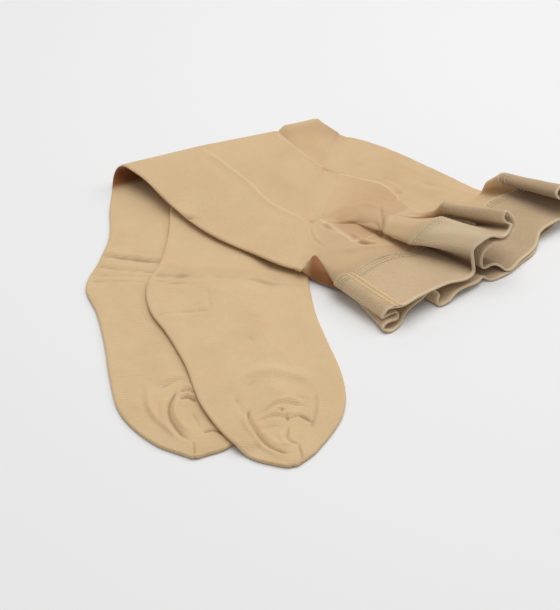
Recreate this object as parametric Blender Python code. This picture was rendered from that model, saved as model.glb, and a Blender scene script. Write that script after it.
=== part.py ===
"""Compression tights, folded over and lying flat: two knitted legs with closed feet, a brief part
with a gusset, and a wide elastic waistband. Blender 4.5, metres, +Z up.

The legs point towards -Y, fold over a slanted line near +Y and come back on top of themselves;
the waistband spreads in soft waves at +X. Tables are in centimetres on the surface it lies on,
and everything is moved to the middle of its own box at the end."""

import bmesh
import bpy
import numpy as np

CM = 0.01                 # the tables are in centimetres
WALL = 0.10               # one layer of cloth
TUBE = 0.26               # a leg pressed flat: two layers and a sliver of air
SEAM_GAP = 0.03           # between pieces that are sewn together
LAYER_GAP = 0.09          # between layers that lie on each other
STACK = TUBE + LAYER_GAP  # what one flat leg adds to the pile

# The fold: a soft roll over a slanted line, fuller at its left end.
FOLD_START = np.array([-11.9, 13.55])
FOLD_END = np.array([3.4, 22.9])
FOLD_RADIUS = 1.0
FOLD_TAPER = 0.0184       # radius lost per centimetre along the line
FOLD_SETTLE = 4.0         # the folded layer comes down over this length
LEAN = 2.0                # a layer comes off the edge of the one below it over this length,
EDGE_CLEAR = 0.4          # starting this far past that edge

BAND_WIDTH = 4.5          # waistband, seam edge to free edge
BAND_WALL = 0.14

NUDGE = 0.01              # share of a leg's width over which its slope is taken
ACROSS = 9                # points across one layer of a flat leg
ALONG_LOWER = 26          # sections of a leg below the fold, round it and above it
ALONG_FOLD = 11
ALONG_UPPER = 8
BRIEF_RINGS = 9
GUSSET_ROWS = 15
GUSSET_ACROSS = 13
RING_TOP = 34             # points round the waist, upper layer and lower layer
RING_BOTTOM = 16

# Lower stretch of each leg, toe to calf: left and right edge of the flat tube.
LEG_UNDER = (
    # station       left x  left y  right x right y
    ("toe end",     -5.25, -13.75,  -4.40, -13.70),
    ("toe",         -7.40, -12.55,  -2.80, -12.75),
    ("ball",        -9.67,  -9.92,  -1.20,  -9.60),
    ("mid foot",   -10.51,  -7.16,  -1.15,  -6.60),
    ("arch",       -11.24,  -3.94,  -1.80,  -3.20),
    ("heel front", -12.14,  -0.89,  -2.40,  -0.40),
    ("heel",       -13.16,   1.60,  -2.60,   2.10),
    ("ankle",      -12.60,   4.70,  -3.00,   5.00),
    ("shin",       -12.27,   7.18,  -3.20,   7.90),
    ("calf",       -12.62,  10.80,  -2.50,  13.20),
)
LEG_OVER = (
    ("toe end",      0.10, -14.48,   1.35, -14.20),
    ("toe",         -1.71, -13.71,   2.20, -13.10),
    ("ball",        -4.58, -10.11,   3.85,  -9.90),
    ("mid foot",    -5.97,  -6.17,   3.80,  -6.70),
    ("arch",        -7.31,  -3.36,   2.90,  -3.30),
    ("heel front",  -8.53,  -1.18,   2.37,  -1.15),
    ("heel",        -9.00,   1.40,   2.04,   1.40),
    ("ankle",       -8.30,   4.00,   1.85,   4.00),
    ("shin",        -8.01,   6.84,   1.25,   7.60),
    ("calf",        -8.02,  11.19,   1.50,  13.50),
)
# Where each edge meets the fold line, in centimetres along it: going in and coming out.
FOLD_EDGES = {
    #             left in, left out, right in, right out
    "leg_under": (-1.17,   1.17,     12.2,     13.6),
    "leg_over":  (5.50,    7.00,     16.3,     17.3),
}
# Upper stretch, fold to brief: outer and inner edge of the thigh.
THIGH_UNDER = (
    ("fold side",  -10.03,  12.42,   0.90,  18.40),
    ("thigh",       -7.84,   9.68,   1.79,  17.18),
    ("upper thigh", -5.46,   7.02,   2.50,  16.20),
    ("hip fold",    -2.08,   4.57,   3.30,  15.50),
    ("brief line",   1.20,   2.80,   4.02,  14.70),
)
THIGH_OVER = (
    ("fold side",   -4.60,  15.30,   3.45,  21.75),
    ("thigh",       -2.63,  13.10,   4.05,  21.14),
    ("upper thigh", -0.58,  10.40,   4.60,  20.65),
    ("brief line",   2.43,   8.00,   5.30,  20.10),
)
# Height of the pile's upper face at named spots; a smooth sheet is carried through them.
PILE = (
    ("roll, left end",   -10.0, 12.4, 1.70),
    ("edge by the roll",  -7.8,  9.7, 1.36),
    ("edge, middle",      -3.9,  5.6, 1.08),
    ("edge on the foot",   0.6,  3.2, 0.98),
    ("thigh middle",      -3.0, 11.5, 1.34),
    ("roll, middle",      -1.5, 16.4, 1.36),
    ("roll, right part",   0.5, 19.6, 1.34),
    ("crotch",             2.2,  8.0, 1.12),
    ("gusset far end",     3.5, 15.0, 0.95),
    ("back corner",        3.6, 21.0, 0.80),
    ("back edge",          7.3, 19.3, 0.70),
)
# The waistband, a row for each bend: free edge, heading of the cloth towards it, rise to the seam.
WAIST_TOP = (
    # bend            x      y      z    heading  rise
    ("near roll",     6.63, -2.42, 0.80, -46,  0.10),
    ("roll top",      7.15, -2.05, 1.38, -46,  0.25),
    ("panel near",    9.13, -0.88, 1.42, -43,  0.45),
    ("panel middle", 11.28,  0.67, 1.30, -38,  0.60),
    ("panel foot",   12.75,  1.55, 1.05, -33,  0.60),
    ("wall",         13.10,  2.25, 1.90, -28,  0.60),
    ("hump near",    13.49,  2.80, 3.05, -22,  0.20),
    ("hump top",     14.40,  3.23, 3.30, -20,  0.40),
    ("valley",       15.20,  3.65, 3.15, -20,  0.30),
    ("roll side",    15.25,  4.30, 3.85, -22,  0.10),
    ("roll top",     15.55,  4.80, 4.40, -24, -0.10),
    ("roll back",    16.10,  4.95, 3.60, -27,  0.00),
    ("roll foot",    16.55,  4.95, 2.00, -29,  0.60),
    ("trough",       17.60,  5.75, 0.80, -29,  0.90),
    ("far panel",    19.30,  7.70, 0.90, -26,  1.10),
    ("far side",     20.75,  8.80, 1.25, -22,  1.10),
    ("far neck",     20.75,  9.10, 2.20, -19,  0.60),
    ("far roll",     20.15,  9.60, 2.95, -17,  0.35),
    ("far back",     20.95, 10.10, 2.10, -16,  0.20),
    ("far low",      20.95, 10.30, 1.00, -16,  0.10),
)
WAIST_BOTTOM = (
    ("far hem",      20.20, 10.00, 0.17, -17,  0.00),
    ("far bottom",   19.20,  7.90, 0.13, -24,  0.00),
    ("wave",         17.50,  5.00, 0.13, -29,  0.00),
    ("under hump",   14.90,  2.60, 0.15, -31,  0.00),
    ("wave",         12.90,  1.20, 0.45, -35,  0.00),
    ("middle",       11.10,  0.00, 0.16, -39,  0.00),
    ("wave",         10.10, -0.30, 0.60, -41,  0.00),
    ("near bottom",   8.30, -1.60, 0.40, -43,  0.00),
    ("near hem",      7.10, -2.75, 0.15, -46,  0.00),
)
# The brief starts on this straight line, where both thighs end; near edge and far edge.
BRIEF_NEAR = np.array([1.20, 2.80])
BRIEF_FAR = np.array([5.30, 20.10])
BRIEF_BOW = 0.9           # how far its back edge swells out, close behind the thigh
BRIEF_START_GAP = 0.06    # clear of the thighs' ends, and of the waistband's slanted edge
BRIEF_END_GAP = 0.12
BOW_FORWARD = 0.6         # powers: under 1 puts the swell nearer the thigh,
BOW_EDGE = 3              # over 1 keeps it to the back edge
UPPER_DELAY = 1.4         # the upper layer rises late into the waistband's waves,
LOWER_HASTE = 2.0         # the lower one comes down to the surface this much faster
CROTCH_START = 8.0        # both thighs lie on each other between these two, by y
CROTCH_END = 14.7
# The gusset: a leaf on the brief's upper layer, as shares along the brief and across it.
GUSSET = (
    # section   along  near  far
    ("point",   0.03,  0.36, 0.60),
    ("throat",  0.18,  0.31, 0.64),
    ("belly",   0.38,  0.30, 0.62),
    ("taper",   0.56,  0.35, 0.57),
    ("tip",     0.70,  0.43, 0.50),
)
GUSSET_WALL = 0.08
GUSSET_LIFT = 0.12        # clear of the brief's facets, which it bridges in places
JOIN_AT = 0.075           # the waistband's closing seam, as a share of its upper layer,
JOIN_SPAN = (0.02, 0.5, 0.98)  # at these shares of the band's width
JOIN_WIDTH = 0.35
JOIN_WALL = 0.08


def columns(table):
    """The numbers of a table, without its names."""
    return np.array([row[1:] for row in table], float)


def ease(x):
    """Smooth step: 0 below 0, 3x^2 - 2x^3 between, 1 above 1."""
    x = np.clip(x, 0.0, 1.0)
    return x * x * (3.0 - 2.0 * x)


def curve_through(rows, count):
    """Cubic Hermite curve through rows of numbers, in even steps of its chord."""
    rows = np.asarray(rows, float)
    chord = np.linalg.norm(np.diff(rows[:, :2], axis=0), axis=1) + 1e-6
    knots = np.concatenate([[0.0], np.cumsum(chord)])
    slopes = np.gradient(rows, knots, axis=0)
    steps = np.linspace(0.0, knots[-1], count)
    i = np.clip(np.searchsorted(knots, steps, side="right") - 1, 0, len(chord) - 1)
    h = chord[i][:, None]
    x = (steps - knots[i])[:, None] / h
    return ((1 + 2 * x) * (1 - x) ** 2 * rows[i] + x * (1 - x) ** 2 * h * slopes[i]
            + x * x * (3 - 2 * x) * rows[i + 1] + x * x * (x - 1) * h * slopes[i + 1])


class PileTop:
    """Thin-plate surface through PILE: z = a + b x + c y + sum w r^2 log r."""

    def __init__(self, table):
        data = columns(table)
        self.spots = data[:, :2]
        count = len(data)
        system = np.zeros((count + 3, count + 3))
        system[:count, :count] = self.bend(self.spots)
        system[:count, count] = 1.0
        system[:count, count + 1:] = self.spots
        system[count:, :count] = system[:count, count:].T
        target = np.concatenate([data[:, 2], np.zeros(3)])
        self.weights = np.linalg.solve(system, target)

    def bend(self, points):
        gap = points[:, None, :] - self.spots[None, :, :]
        square = (gap ** 2).sum(axis=2) + 1e-9
        return 0.5 * square * np.log(square)

    def __call__(self, x, y):
        points = np.stack([np.ravel(x), np.ravel(y)], axis=1)
        count = len(self.spots)
        z = self.bend(points) @ self.weights[:count] + self.weights[count]
        return (z + points @ self.weights[count + 1:]).reshape(np.shape(x))


pile_top = PileTop(PILE)
fold_way = (FOLD_END - FOLD_START) / np.linalg.norm(FOLD_END - FOLD_START)
fold_out = np.array([-fold_way[1], fold_way[0]])


def fold_point(along):
    """Plan position on the fold line."""
    return FOLD_START + np.asarray(along)[..., None] * fold_way


def fold_radius(along, leg):
    """Middle of the leg's wall round the fold; the over leg lies inside the under leg."""
    outer = FOLD_RADIUS - FOLD_TAPER * np.asarray(along)
    return outer - TUBE / 2 - (STACK if leg == "leg_over" else 0.0)


def covered_by(x, y, edge):
    """1 left of an edge line that runs up the table, easing to 0 to the right of it."""
    order = np.argsort(edge[:, 1])
    line = np.interp(y, edge[order, 1], edge[order, 0])
    return 1.0 - ease((x - line - EDGE_CLEAR) / LEAN)


def leg_middle(leg, lower_table, thigh_table):
    """Function giving the leg's middle surface, sections by shares across, as (x, y, z)."""
    edges = FOLD_EDGES[leg]
    first = np.concatenate([fold_point(edges[0]), fold_point(edges[2])])
    last = np.concatenate([fold_point(edges[1]), fold_point(edges[3])])
    lower = curve_through(np.vstack([columns(lower_table), first]), ALONG_LOWER)
    upper = curve_through(np.vstack([last, columns(thigh_table)]), ALONG_UPPER)
    turn = np.linspace(0.0, np.pi, ALONG_FOLD + 2)[1:-1]
    under_edge = columns(LEG_UNDER)[:, 2:]
    under_edge = np.vstack([under_edge, fold_point(FOLD_EDGES["leg_under"][2])])

    def middle(share):
        share = np.asarray(share)[None, :, None]
        flat = lower[:, None, :2] * (1 - share) + lower[:, None, 2:] * share
        rest = np.zeros(flat.shape[:2])
        if leg == "leg_over":
            rest = STACK * covered_by(flat[..., 0], flat[..., 1], under_edge)
        low = np.dstack([flat, rest + TUBE / 2])

        swing = (turn / np.pi)[:, None]
        left = edges[0] + (edges[1] - edges[0]) * swing
        right = edges[2] + (edges[3] - edges[2]) * swing
        along = left * (1 - share[..., 0]) + right * share[..., 0]
        radius = fold_radius(along, leg)
        base = np.zeros(along.shape)
        if leg == "leg_over":
            going_in = rest[-1:]
            coming_out = STACK * (1.0 - ease((along - FOLD_EDGES["leg_under"][3]) / LEAN))
            base = going_in * (1 - swing) + coming_out * swing
        centre = base + radius + TUBE / 2
        ground = fold_point(along) + (radius * np.sin(turn)[:, None])[..., None] * fold_out
        bent = np.dstack([ground, centre - radius * np.cos(turn)[:, None]])

        flat = upper[:, None, :2] * (1 - share) + upper[:, None, 2:] * share
        height = pile_top(flat[..., 0], flat[..., 1])
        if leg == "leg_over":
            lid = columns(THIGH_UNDER)[:, 2:]
            lid = np.vstack([fold_point(FOLD_EDGES["leg_under"][3]), lid])
            height = height - STACK * covered_by(flat[..., 0], flat[..., 1], lid)
        along = (flat - FOLD_START) @ fold_way
        away = -((flat - FOLD_START) @ fold_out)
        radius = fold_radius(along, leg)
        base = np.zeros(along.shape)
        if leg == "leg_over":
            base = STACK * (1.0 - ease((along - FOLD_EDGES["leg_under"][3]) / LEAN))
        rolled = base + 2 * radius + TUBE / 2
        settle = ease(away / FOLD_SETTLE)
        high = np.dstack([flat, rolled * (1 - settle) + (height - TUBE / 2) * settle])
        return np.concatenate([low, bent, high])

    return middle, lower, upper


def flat_section(width, half):
    """Ring of a flat tube as (across, through): a stadium, clockwise seen from the toe."""
    turn = np.linspace(-90.0, 90.0, 5)[1:-1] * np.pi / 180.0
    straight = np.linspace(-width / 2 + half, width / 2 - half, ACROSS)
    top = np.stack([straight, np.full(ACROSS, half)], axis=1)
    right = np.stack([width / 2 - half + half * np.cos(turn[::-1]), half * np.sin(turn[::-1])], axis=1)
    return np.concatenate([top, right, -top, -right])


def leg_rings(middle, lower, upper):
    """Outer and inner rings of a leg's wall: the middle surface moved along its normals."""
    widths = [np.linalg.norm(row[2:] - row[:2]) for row in lower]
    widths += [np.linalg.norm(lower[-1, 2:] - lower[-1, :2])] * ALONG_FOLD
    widths += [np.linalg.norm(row[2:] - row[:2]) for row in upper]
    rings = []
    for trim in (0.0, WALL):
        ring = []
        for i, width in enumerate(widths):
            section = flat_section(width - 2 * trim, TUBE / 2 - trim)
            share = section[:, 0] / width + 0.5
            here = middle(share)
            across = middle(share + NUDGE)[i] - middle(share - NUDGE)[i]
            before = max(i - 1, 0)
            after = min(i + 1, len(widths) - 1)
            normal = np.cross(across, here[after] - here[before])
            normal /= np.linalg.norm(normal, axis=1)[:, None]
            ring.append(here[i] + normal * section[:, 1:])
        rings.append(np.array(ring))
    inner = rings[1]
    toe_step = np.linalg.norm(inner[1].mean(axis=0) - inner[0].mean(axis=0))
    inner[0] += (inner[1] - inner[0]) * WALL / toe_step
    return rings


def wall_solid(name, outer, inner, closed_start, look):
    """One closed wall between two stacks of rings: rims at the open ends, caps at the closed."""
    rows, count = outer.shape[:2]
    points = np.concatenate([outer.reshape(-1, 3), inner.reshape(-1, 3)]) * CM
    far = rows * count
    faces = []
    for i in range(rows - 1):
        for j in range(count):
            k = (j + 1) % count
            a, b, c, d = i * count + j, i * count + k, (i + 1) * count + k, (i + 1) * count + j
            faces.append((a, b, c, d))
            faces.append((far + d, far + c, far + b, far + a))
    for j in range(count):
        k = (j + 1) % count
        last = (rows - 1) * count
        faces.append((last + j, last + k, far + last + k, far + last + j))
        if not closed_start:
            faces.append((k, j, far + j, far + k))
    if closed_start:
        faces.append(tuple(reversed(range(count))))
        faces.append(tuple(range(far, far + count)))
    return mesh_object(name, points, faces, look)


def mesh_object(name, points, faces, look):
    """A named object from points and faces, turned outwards, with its own material."""
    mesh = bpy.data.meshes.new(name)
    mesh.from_pydata([tuple(p) for p in points], [], faces)
    body = bmesh.new()
    body.from_mesh(mesh)
    bmesh.ops.triangulate(body, faces=body.faces[:])
    bmesh.ops.recalc_face_normals(body, faces=body.faces[:])
    if body.calc_volume(signed=True) < 0:
        bmesh.ops.reverse_faces(body, faces=body.faces[:])
    body.to_mesh(mesh)
    body.free()
    mesh.shade_smooth()
    thing = bpy.data.objects.new(name, mesh)
    thing.data.materials.append(material(name, *look))
    bpy.context.scene.collection.objects.link(thing)
    return thing


def material(name, colour, roughness, metallic):
    """A Principled material for one piece."""
    made = bpy.data.materials.new(name + "_knit")
    made.use_nodes = True
    shader = made.node_tree.nodes["Principled BSDF"]
    shader.inputs["Base Color"].default_value = (*colour, 1.0)
    shader.inputs["Roughness"].default_value = roughness
    shader.inputs["Metallic"].default_value = metallic
    return made


def waist_ring(table, count):
    """Free edge and seam edge of the waistband along one layer."""
    rows = curve_through(columns(table), count)
    heading = np.radians(rows[:, 3])
    reach = np.sqrt(BAND_WIDTH ** 2 - rows[:, 4] ** 2)
    seam = rows[:, :3].copy()
    seam[:, 0] -= reach * np.cos(heading)
    seam[:, 1] -= reach * np.sin(heading)
    seam[:, 2] += rows[:, 4]
    return rows[:, :3], seam


def ring_normals(near, far):
    """Unit normals of a ruled closed ribbon between two rings, pointing out of the ring."""
    along = np.roll(near, -1, axis=0) - np.roll(near, 1, axis=0)
    along = along + np.roll(far, -1, axis=0) - np.roll(far, 1, axis=0)
    normal = np.cross(far - near, along)
    return normal / np.linalg.norm(normal, axis=1)[:, None]


def waistband_edges():
    """Seam ring and free ring of the waistband: upper layer near to far, lower layer back."""
    free_top, seam_top = waist_ring(WAIST_TOP, RING_TOP)
    free_low, seam_low = waist_ring(WAIST_BOTTOM, RING_BOTTOM)
    return np.concatenate([seam_top, seam_low]), np.concatenate([free_top, free_low])


def band_solid(seam, free, look):
    """Wall of even thickness round both rings."""
    half = ring_normals(seam, free) * BAND_WALL / 2
    rows = [seam + (free - seam) * share for share in (0.0, 0.5, 1.0)]
    outer = np.array([row + half for row in rows])
    inner = np.array([row - half for row in rows])
    return wall_solid("waistband", outer, inner, False, look)


def brief_middle(seam, free):
    """Middle surface of the brief, rings by points: from the thighs' end to the waistband."""
    share = np.concatenate([np.linspace(0, 1, RING_TOP), np.linspace(1, 0, RING_BOTTOM)])
    lower = np.arange(len(share)) >= RING_TOP
    start = BRIEF_NEAR + share[:, None] * (BRIEF_FAR - BRIEF_NEAR)
    side = (BRIEF_FAR - BRIEF_NEAR) / np.linalg.norm(BRIEF_FAR - BRIEF_NEAR)
    onward = np.array([side[1], -side[0]])
    start = start + onward * BRIEF_START_GAP
    top = pile_top(start[:, 0], start[:, 1]) - WALL / 2
    doubled = ease((start[:, 1] - CROTCH_START) / LEAN + 1)
    doubled = doubled * (1 - ease((start[:, 1] - CROTCH_END) / LEAN))
    bottom = top - TUBE + WALL - STACK * doubled
    start_z = np.where(lower, bottom, top)
    ruling = (free - seam) / np.linalg.norm(free - seam, axis=1)[:, None]
    end = seam - ruling * BRIEF_END_GAP
    rings = []
    for step in np.linspace(0.0, 1.0, BRIEF_RINGS):
        bow = BRIEF_BOW * np.sin(np.pi * step ** BOW_FORWARD) * share[:, None] ** BOW_EDGE
        plan = start * (1 - step) + end[:, :2] * step + bow * side
        rise = np.where(lower, ease(step * LOWER_HASTE), ease(step) ** UPPER_DELAY)
        rings.append(np.column_stack([plan, start_z * (1 - rise) + end[:, 2] * rise]))
    return np.array(rings)


def surface_normals(rings):
    """Unit normals of a stack of closed rings, pointing out of the tube."""
    across = np.roll(rings, -1, axis=1) - np.roll(rings, 1, axis=1)
    along = np.gradient(rings, axis=0)
    normal = np.cross(along, across)
    return normal / np.linalg.norm(normal, axis=2)[..., None]


def patch_on(rings, normals, along, across):
    """Points and normals of a surface at fractional ring and point numbers."""
    i = np.clip(along.astype(int), 0, len(rings) - 2)
    j = np.clip(across.astype(int), 0, rings.shape[1] - 2)
    u = (along - i)[..., None]
    v = (across - j)[..., None]

    def blend(grid):
        near = grid[i, j] * (1 - v) + grid[i, j + 1] * v
        far = grid[i + 1, j] * (1 - v) + grid[i + 1, j + 1] * v
        return near * (1 - u) + far * u

    return blend(rings), blend(normals)


def plate_solid(name, points, normals, lift, wall, look):
    """A closed plate on a patch of points: lifted off along its normals and given a wall."""
    bottom = points + normals * lift
    top = points + normals * (lift + wall)
    rows, count = points.shape[:2]
    grid = np.concatenate([top.reshape(-1, 3), bottom.reshape(-1, 3)]) * CM
    far = rows * count
    faces = []
    for i in range(rows - 1):
        for j in range(count - 1):
            a, b, c, d = i * count + j, i * count + j + 1, (i + 1) * count + j + 1, (i + 1) * count + j
            faces.append((a, b, c, d))
            faces.append((far + d, far + c, far + b, far + a))
    rim = list(range(count))
    rim += [i * count + count - 1 for i in range(1, rows)]
    rim += [(rows - 1) * count + j for j in range(count - 2, -1, -1)]
    rim += [i * count for i in range(rows - 2, 0, -1)]
    for a, b in zip(rim, rim[1:] + rim[:1]):
        faces.append((b, a, far + a, far + b))
    return mesh_object(name, grid, faces, look)


def gusset_solid(rings, normals, look):
    """The leaf of the gusset on the brief's upper layer."""
    rows = curve_through(columns(GUSSET), GUSSET_ROWS)
    share = np.linspace(0.0, 1.0, GUSSET_ACROSS)[None, :]
    along = np.repeat(rows[:, :1], GUSSET_ACROSS, axis=1) * (BRIEF_RINGS - 1)
    across = (rows[:, 1:2] * (1 - share) + rows[:, 2:3] * share) * (RING_TOP - 1)
    points, outward = patch_on(rings, normals, along, across)
    return plate_solid("gusset", points, outward, WALL / 2 + GUSSET_LIFT, GUSSET_WALL, look)


def join_solid(seam, free, look):
    """The raised closing seam across the waistband's near panel."""
    normal = ring_normals(seam, free)
    edges = np.array([seam + (free - seam) * share for share in JOIN_SPAN])
    normals = np.repeat(normal[None], len(JOIN_SPAN), axis=0)
    step = np.linalg.norm(free[1:RING_TOP] - free[:RING_TOP - 1], axis=1).mean()
    centre = JOIN_AT * (RING_TOP - 1)
    across = centre + np.array([-0.5, 0.5]) * JOIN_WIDTH / step
    along = np.repeat(np.arange(float(len(JOIN_SPAN)))[:, None], 2, axis=1)
    across = np.repeat(across[None], len(JOIN_SPAN), axis=0)
    points, outward = patch_on(edges, normals, along, across)
    return plate_solid("waistband_seam", points, outward, BAND_WALL / 2 + SEAM_GAP, JOIN_WALL, look)


def centre_on_box():
    """Move every mesh so that the origin is under the middle of the whole garment's box."""
    things = [thing for thing in bpy.data.objects if thing.type == "MESH"]
    corners = np.array([vertex.co for thing in things for vertex in thing.data.vertices])
    low = corners.min(axis=0)
    high = corners.max(axis=0)
    shift = -np.array([(low[0] + high[0]) / 2, (low[1] + high[1]) / 2, low[2]])
    for thing in things:
        for vertex in thing.data.vertices:
            vertex.co = np.array(vertex.co) + shift


def main():
    for thing in list(bpy.data.objects):
        bpy.data.objects.remove(thing)
    knit = ((0.66, 0.46, 0.28), 0.8, 0.0)
    sheer = ((0.68, 0.49, 0.31), 0.75, 0.0)
    elastic = ((0.58, 0.46, 0.32), 0.85, 0.0)
    thread = ((0.62, 0.50, 0.33), 0.7, 0.0)
    for leg, lower_table, thigh_table in (("leg_under", LEG_UNDER, THIGH_UNDER),
                                          ("leg_over", LEG_OVER, THIGH_OVER)):
        outer, inner = leg_rings(*leg_middle(leg, lower_table, thigh_table))
        wall_solid(leg, outer, inner, True, knit)
    seam, free = waistband_edges()
    band_solid(seam, free, elastic)
    rings = brief_middle(seam, free)
    normals = surface_normals(rings)
    normals[-1] = ring_normals(seam, free)
    half = normals * WALL / 2
    wall_solid("brief", rings + half, rings - half, False, sheer)
    gusset_solid(rings, normals, knit)
    join_solid(seam, free, thread)
    centre_on_box()


main()
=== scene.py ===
from math import cos, pi, radians, sin

import bmesh
import bpy
import numpy as np
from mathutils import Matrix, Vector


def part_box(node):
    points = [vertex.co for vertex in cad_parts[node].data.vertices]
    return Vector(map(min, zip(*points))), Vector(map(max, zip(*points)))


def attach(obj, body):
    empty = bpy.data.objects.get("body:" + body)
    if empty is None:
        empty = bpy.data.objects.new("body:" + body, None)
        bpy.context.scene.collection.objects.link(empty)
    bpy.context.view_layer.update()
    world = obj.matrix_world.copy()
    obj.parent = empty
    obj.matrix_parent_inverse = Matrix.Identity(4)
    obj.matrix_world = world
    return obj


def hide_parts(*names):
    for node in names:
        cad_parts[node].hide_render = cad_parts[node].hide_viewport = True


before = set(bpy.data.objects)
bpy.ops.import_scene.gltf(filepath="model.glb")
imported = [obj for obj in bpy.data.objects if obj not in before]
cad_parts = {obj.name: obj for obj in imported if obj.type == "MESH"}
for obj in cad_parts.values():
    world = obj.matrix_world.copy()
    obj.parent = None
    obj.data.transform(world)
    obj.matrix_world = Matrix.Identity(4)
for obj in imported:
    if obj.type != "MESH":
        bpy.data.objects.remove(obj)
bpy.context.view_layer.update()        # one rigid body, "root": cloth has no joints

# Compression tights, folded over and lying flat. Tables are in centimetres on the surface the
# garment lies on; toFrame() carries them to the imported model's place, in metres.
metres = 0.01              # in a centimetre

cloth = {
    "tube": 0.26,          # a leg pressed flat
    "layerGap": 0.09,      # between layers that lie on each other
    "edgeClear": 0.4,      # a layer comes off the edge below it this far out,
    "lean": 2.0,           # over this length
    "wall": 0.10,          # one layer of the brief
}
stack = cloth["tube"] + cloth["layerGap"]


def numbers(table):
    # the numbers of a table, without its names
    return np.array([row[1:] for row in table], float)


def ease(x):
    # 0 below 0, 3x^2 - 2x^3 between, 1 above 1
    x = np.clip(x, 0.0, 1.0)
    return x * x * (3.0 - 2.0 * x)


def hump(x, middle, width):
    # e^(-((x - middle) / width)^2)
    return np.exp(-((x - middle) / width) ** 2)


def hermite(x, reach, start, leaving, end, arriving):
    # cubic from start to end that sets off at reach x leaving and comes in at reach x arriving
    return ((1 + 2 * x) * (1 - x) ** 2 * start + x * (1 - x) ** 2 * reach * leaving
            + x * x * (3 - 2 * x) * end + x * x * (x - 1) * reach * arriving)


def runAlong(points):
    # length run from the first point to each one, along the first axis
    return np.concatenate([[0.0], np.cumsum(np.linalg.norm(np.diff(points, axis=0), axis=1))])


def curveThrough(rows, shares):
    # cubic Hermite curve through rows of numbers; shares run from 0 to 1 along its chord
    rows = np.asarray(rows, float)
    chord = np.linalg.norm(np.diff(rows[:, :3], axis=0), axis=1) + 1e-6
    knots = np.concatenate([[0.0], np.cumsum(chord)])
    slopes = np.gradient(rows, knots, axis=0)
    steps = np.asarray(shares) * knots[-1]
    i = np.clip(np.searchsorted(knots, steps, side="right") - 1, 0, len(chord) - 1)
    h = chord[i][:, None]
    return hermite((steps - knots[i])[:, None] / h, h, rows[i], slopes[i], rows[i + 1], slopes[i + 1])


def plateThrough(table):
    # thin plate through named spots: z = a + b x + c y + sum of weight r^2 log r
    data = numbers(table)
    spots = data[:, :2]
    count = len(data)

    def bend(points):
        square = ((points[:, None, :] - spots[None, :, :]) ** 2).sum(axis=2) + 1e-9
        return 0.5 * square * np.log(square)

    system = np.zeros((count + 3, count + 3))
    system[:count, :count] = bend(spots)
    system[:count, count] = 1.0
    system[:count, count + 1:] = spots
    system[count:, :count] = system[:count, count:].T
    weights = np.linalg.solve(system, np.concatenate([data[:, 2], np.zeros(3)]))

    def height(x, y):
        points = np.stack([np.ravel(x), np.ravel(y)], axis=1)
        z = bend(points) @ weights[:count] + weights[count]
        return (z + points @ weights[count + 1:]).reshape(np.shape(x))

    return height


def nearLine(x, y, line):
    # distance to a line of points, and share along it of the nearest place
    line = np.asarray(line, float)
    best = np.full(np.shape(x), np.inf)
    share = np.zeros(np.shape(x))
    starts = runAlong(line)
    for i, length in enumerate(np.linalg.norm(np.diff(line, axis=0), axis=1)):
        way = (line[i + 1] - line[i]) / length
        along = np.clip((x - line[i, 0]) * way[0] + (y - line[i, 1]) * way[1], 0.0, length)
        gap = np.hypot(x - line[i, 0] - along * way[0], y - line[i, 1] - along * way[1])
        closer = gap < best
        best = np.where(closer, gap, best)
        share = np.where(closer, (starts[i] + along) / starts[-1], share)
    return best, share


def creases(x, y, table):
    # sum over rows: height e^(-(d / width)^2), which fades in and out along the line
    total = np.zeros(np.shape(x))
    for row in table:
        height, width, fade, line = row[1:]
        if len(line) > 2:
            line = curveThrough(line, np.linspace(0, 1, 4 * len(line)))
        gap, share = nearLine(x, y, line)
        ends = 1.0 if fade == 0 else ease(share / fade) * ease((1 - share) / fade)
        total = total + height * ends * hump(gap, 0.0, width)
    return total


def waves(x, y, size, seed):
    # soft uneven ground: ten plane waves in scattered directions, about -1 to 1 in sum
    dice = np.random.default_rng(seed)
    total = np.zeros(np.shape(x))
    for _ in range(10):
        turn = dice.uniform(0, 2 * pi)
        pace = 2 * pi / (size * dice.uniform(0.7, 1.6))
        total = total + np.sin(pace * (x * cos(turn) + y * sin(turn)) + dice.uniform(0, 2 * pi))
    return total / 4.0


def unit(vectors):
    # vectors divided by their lengths
    return vectors / np.maximum(np.linalg.norm(vectors, axis=-1, keepdims=True), 1e-9)


def gridNormals(points, wrap=False):
    # cross product of the steps across and along a grid of points
    if wrap:
        across = np.roll(points, -1, axis=1) - np.roll(points, 1, axis=1)
    else:
        across = np.gradient(points, axis=1)
    return unit(np.cross(across, np.gradient(points, axis=0)))


def gridFaces(rows, columns, wrap):
    # corner numbers of the quads of a grid, and of their places in a map one column wider
    r = np.arange(rows - 1)[:, None]
    c = np.arange(columns if wrap else columns - 1)[None, :]
    after = (c + 1) % columns
    wide = columns + 1 if wrap else columns
    faces = (r * columns + c, r * columns + after, (r + 1) * columns + after, (r + 1) * columns + c)
    places = (r * wide + c, r * wide + c + 1, (r + 1) * wide + c + 1, (r + 1) * wide + c)
    return np.stack(faces, axis=2).reshape(-1, 4), np.stack(places, axis=2).reshape(-1, 4)


def clothMap(points, wrap):
    # cloth coordinates in centimetres: length run across each row, and along its middle column
    closed = np.concatenate([points, points[:, :1]], axis=1) if wrap else points
    across = np.linalg.norm(np.diff(closed, axis=1), axis=2)
    u = np.concatenate([np.zeros((len(points), 1)), np.cumsum(across, axis=1)], axis=1)
    u = u - u[:, -1:] / 2
    along = np.linalg.norm(np.diff(closed, axis=0), axis=2).mean(axis=1)
    v = np.concatenate([[0.0], np.cumsum(along)])
    return np.dstack([u, np.repeat(v[:, None], u.shape[1], axis=1)])


def putInScene(name, data):
    # a new object that shows some data, linked to the scene
    made = bpy.data.objects.new(name, data)
    bpy.context.scene.collection.objects.link(made)
    return made


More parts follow.
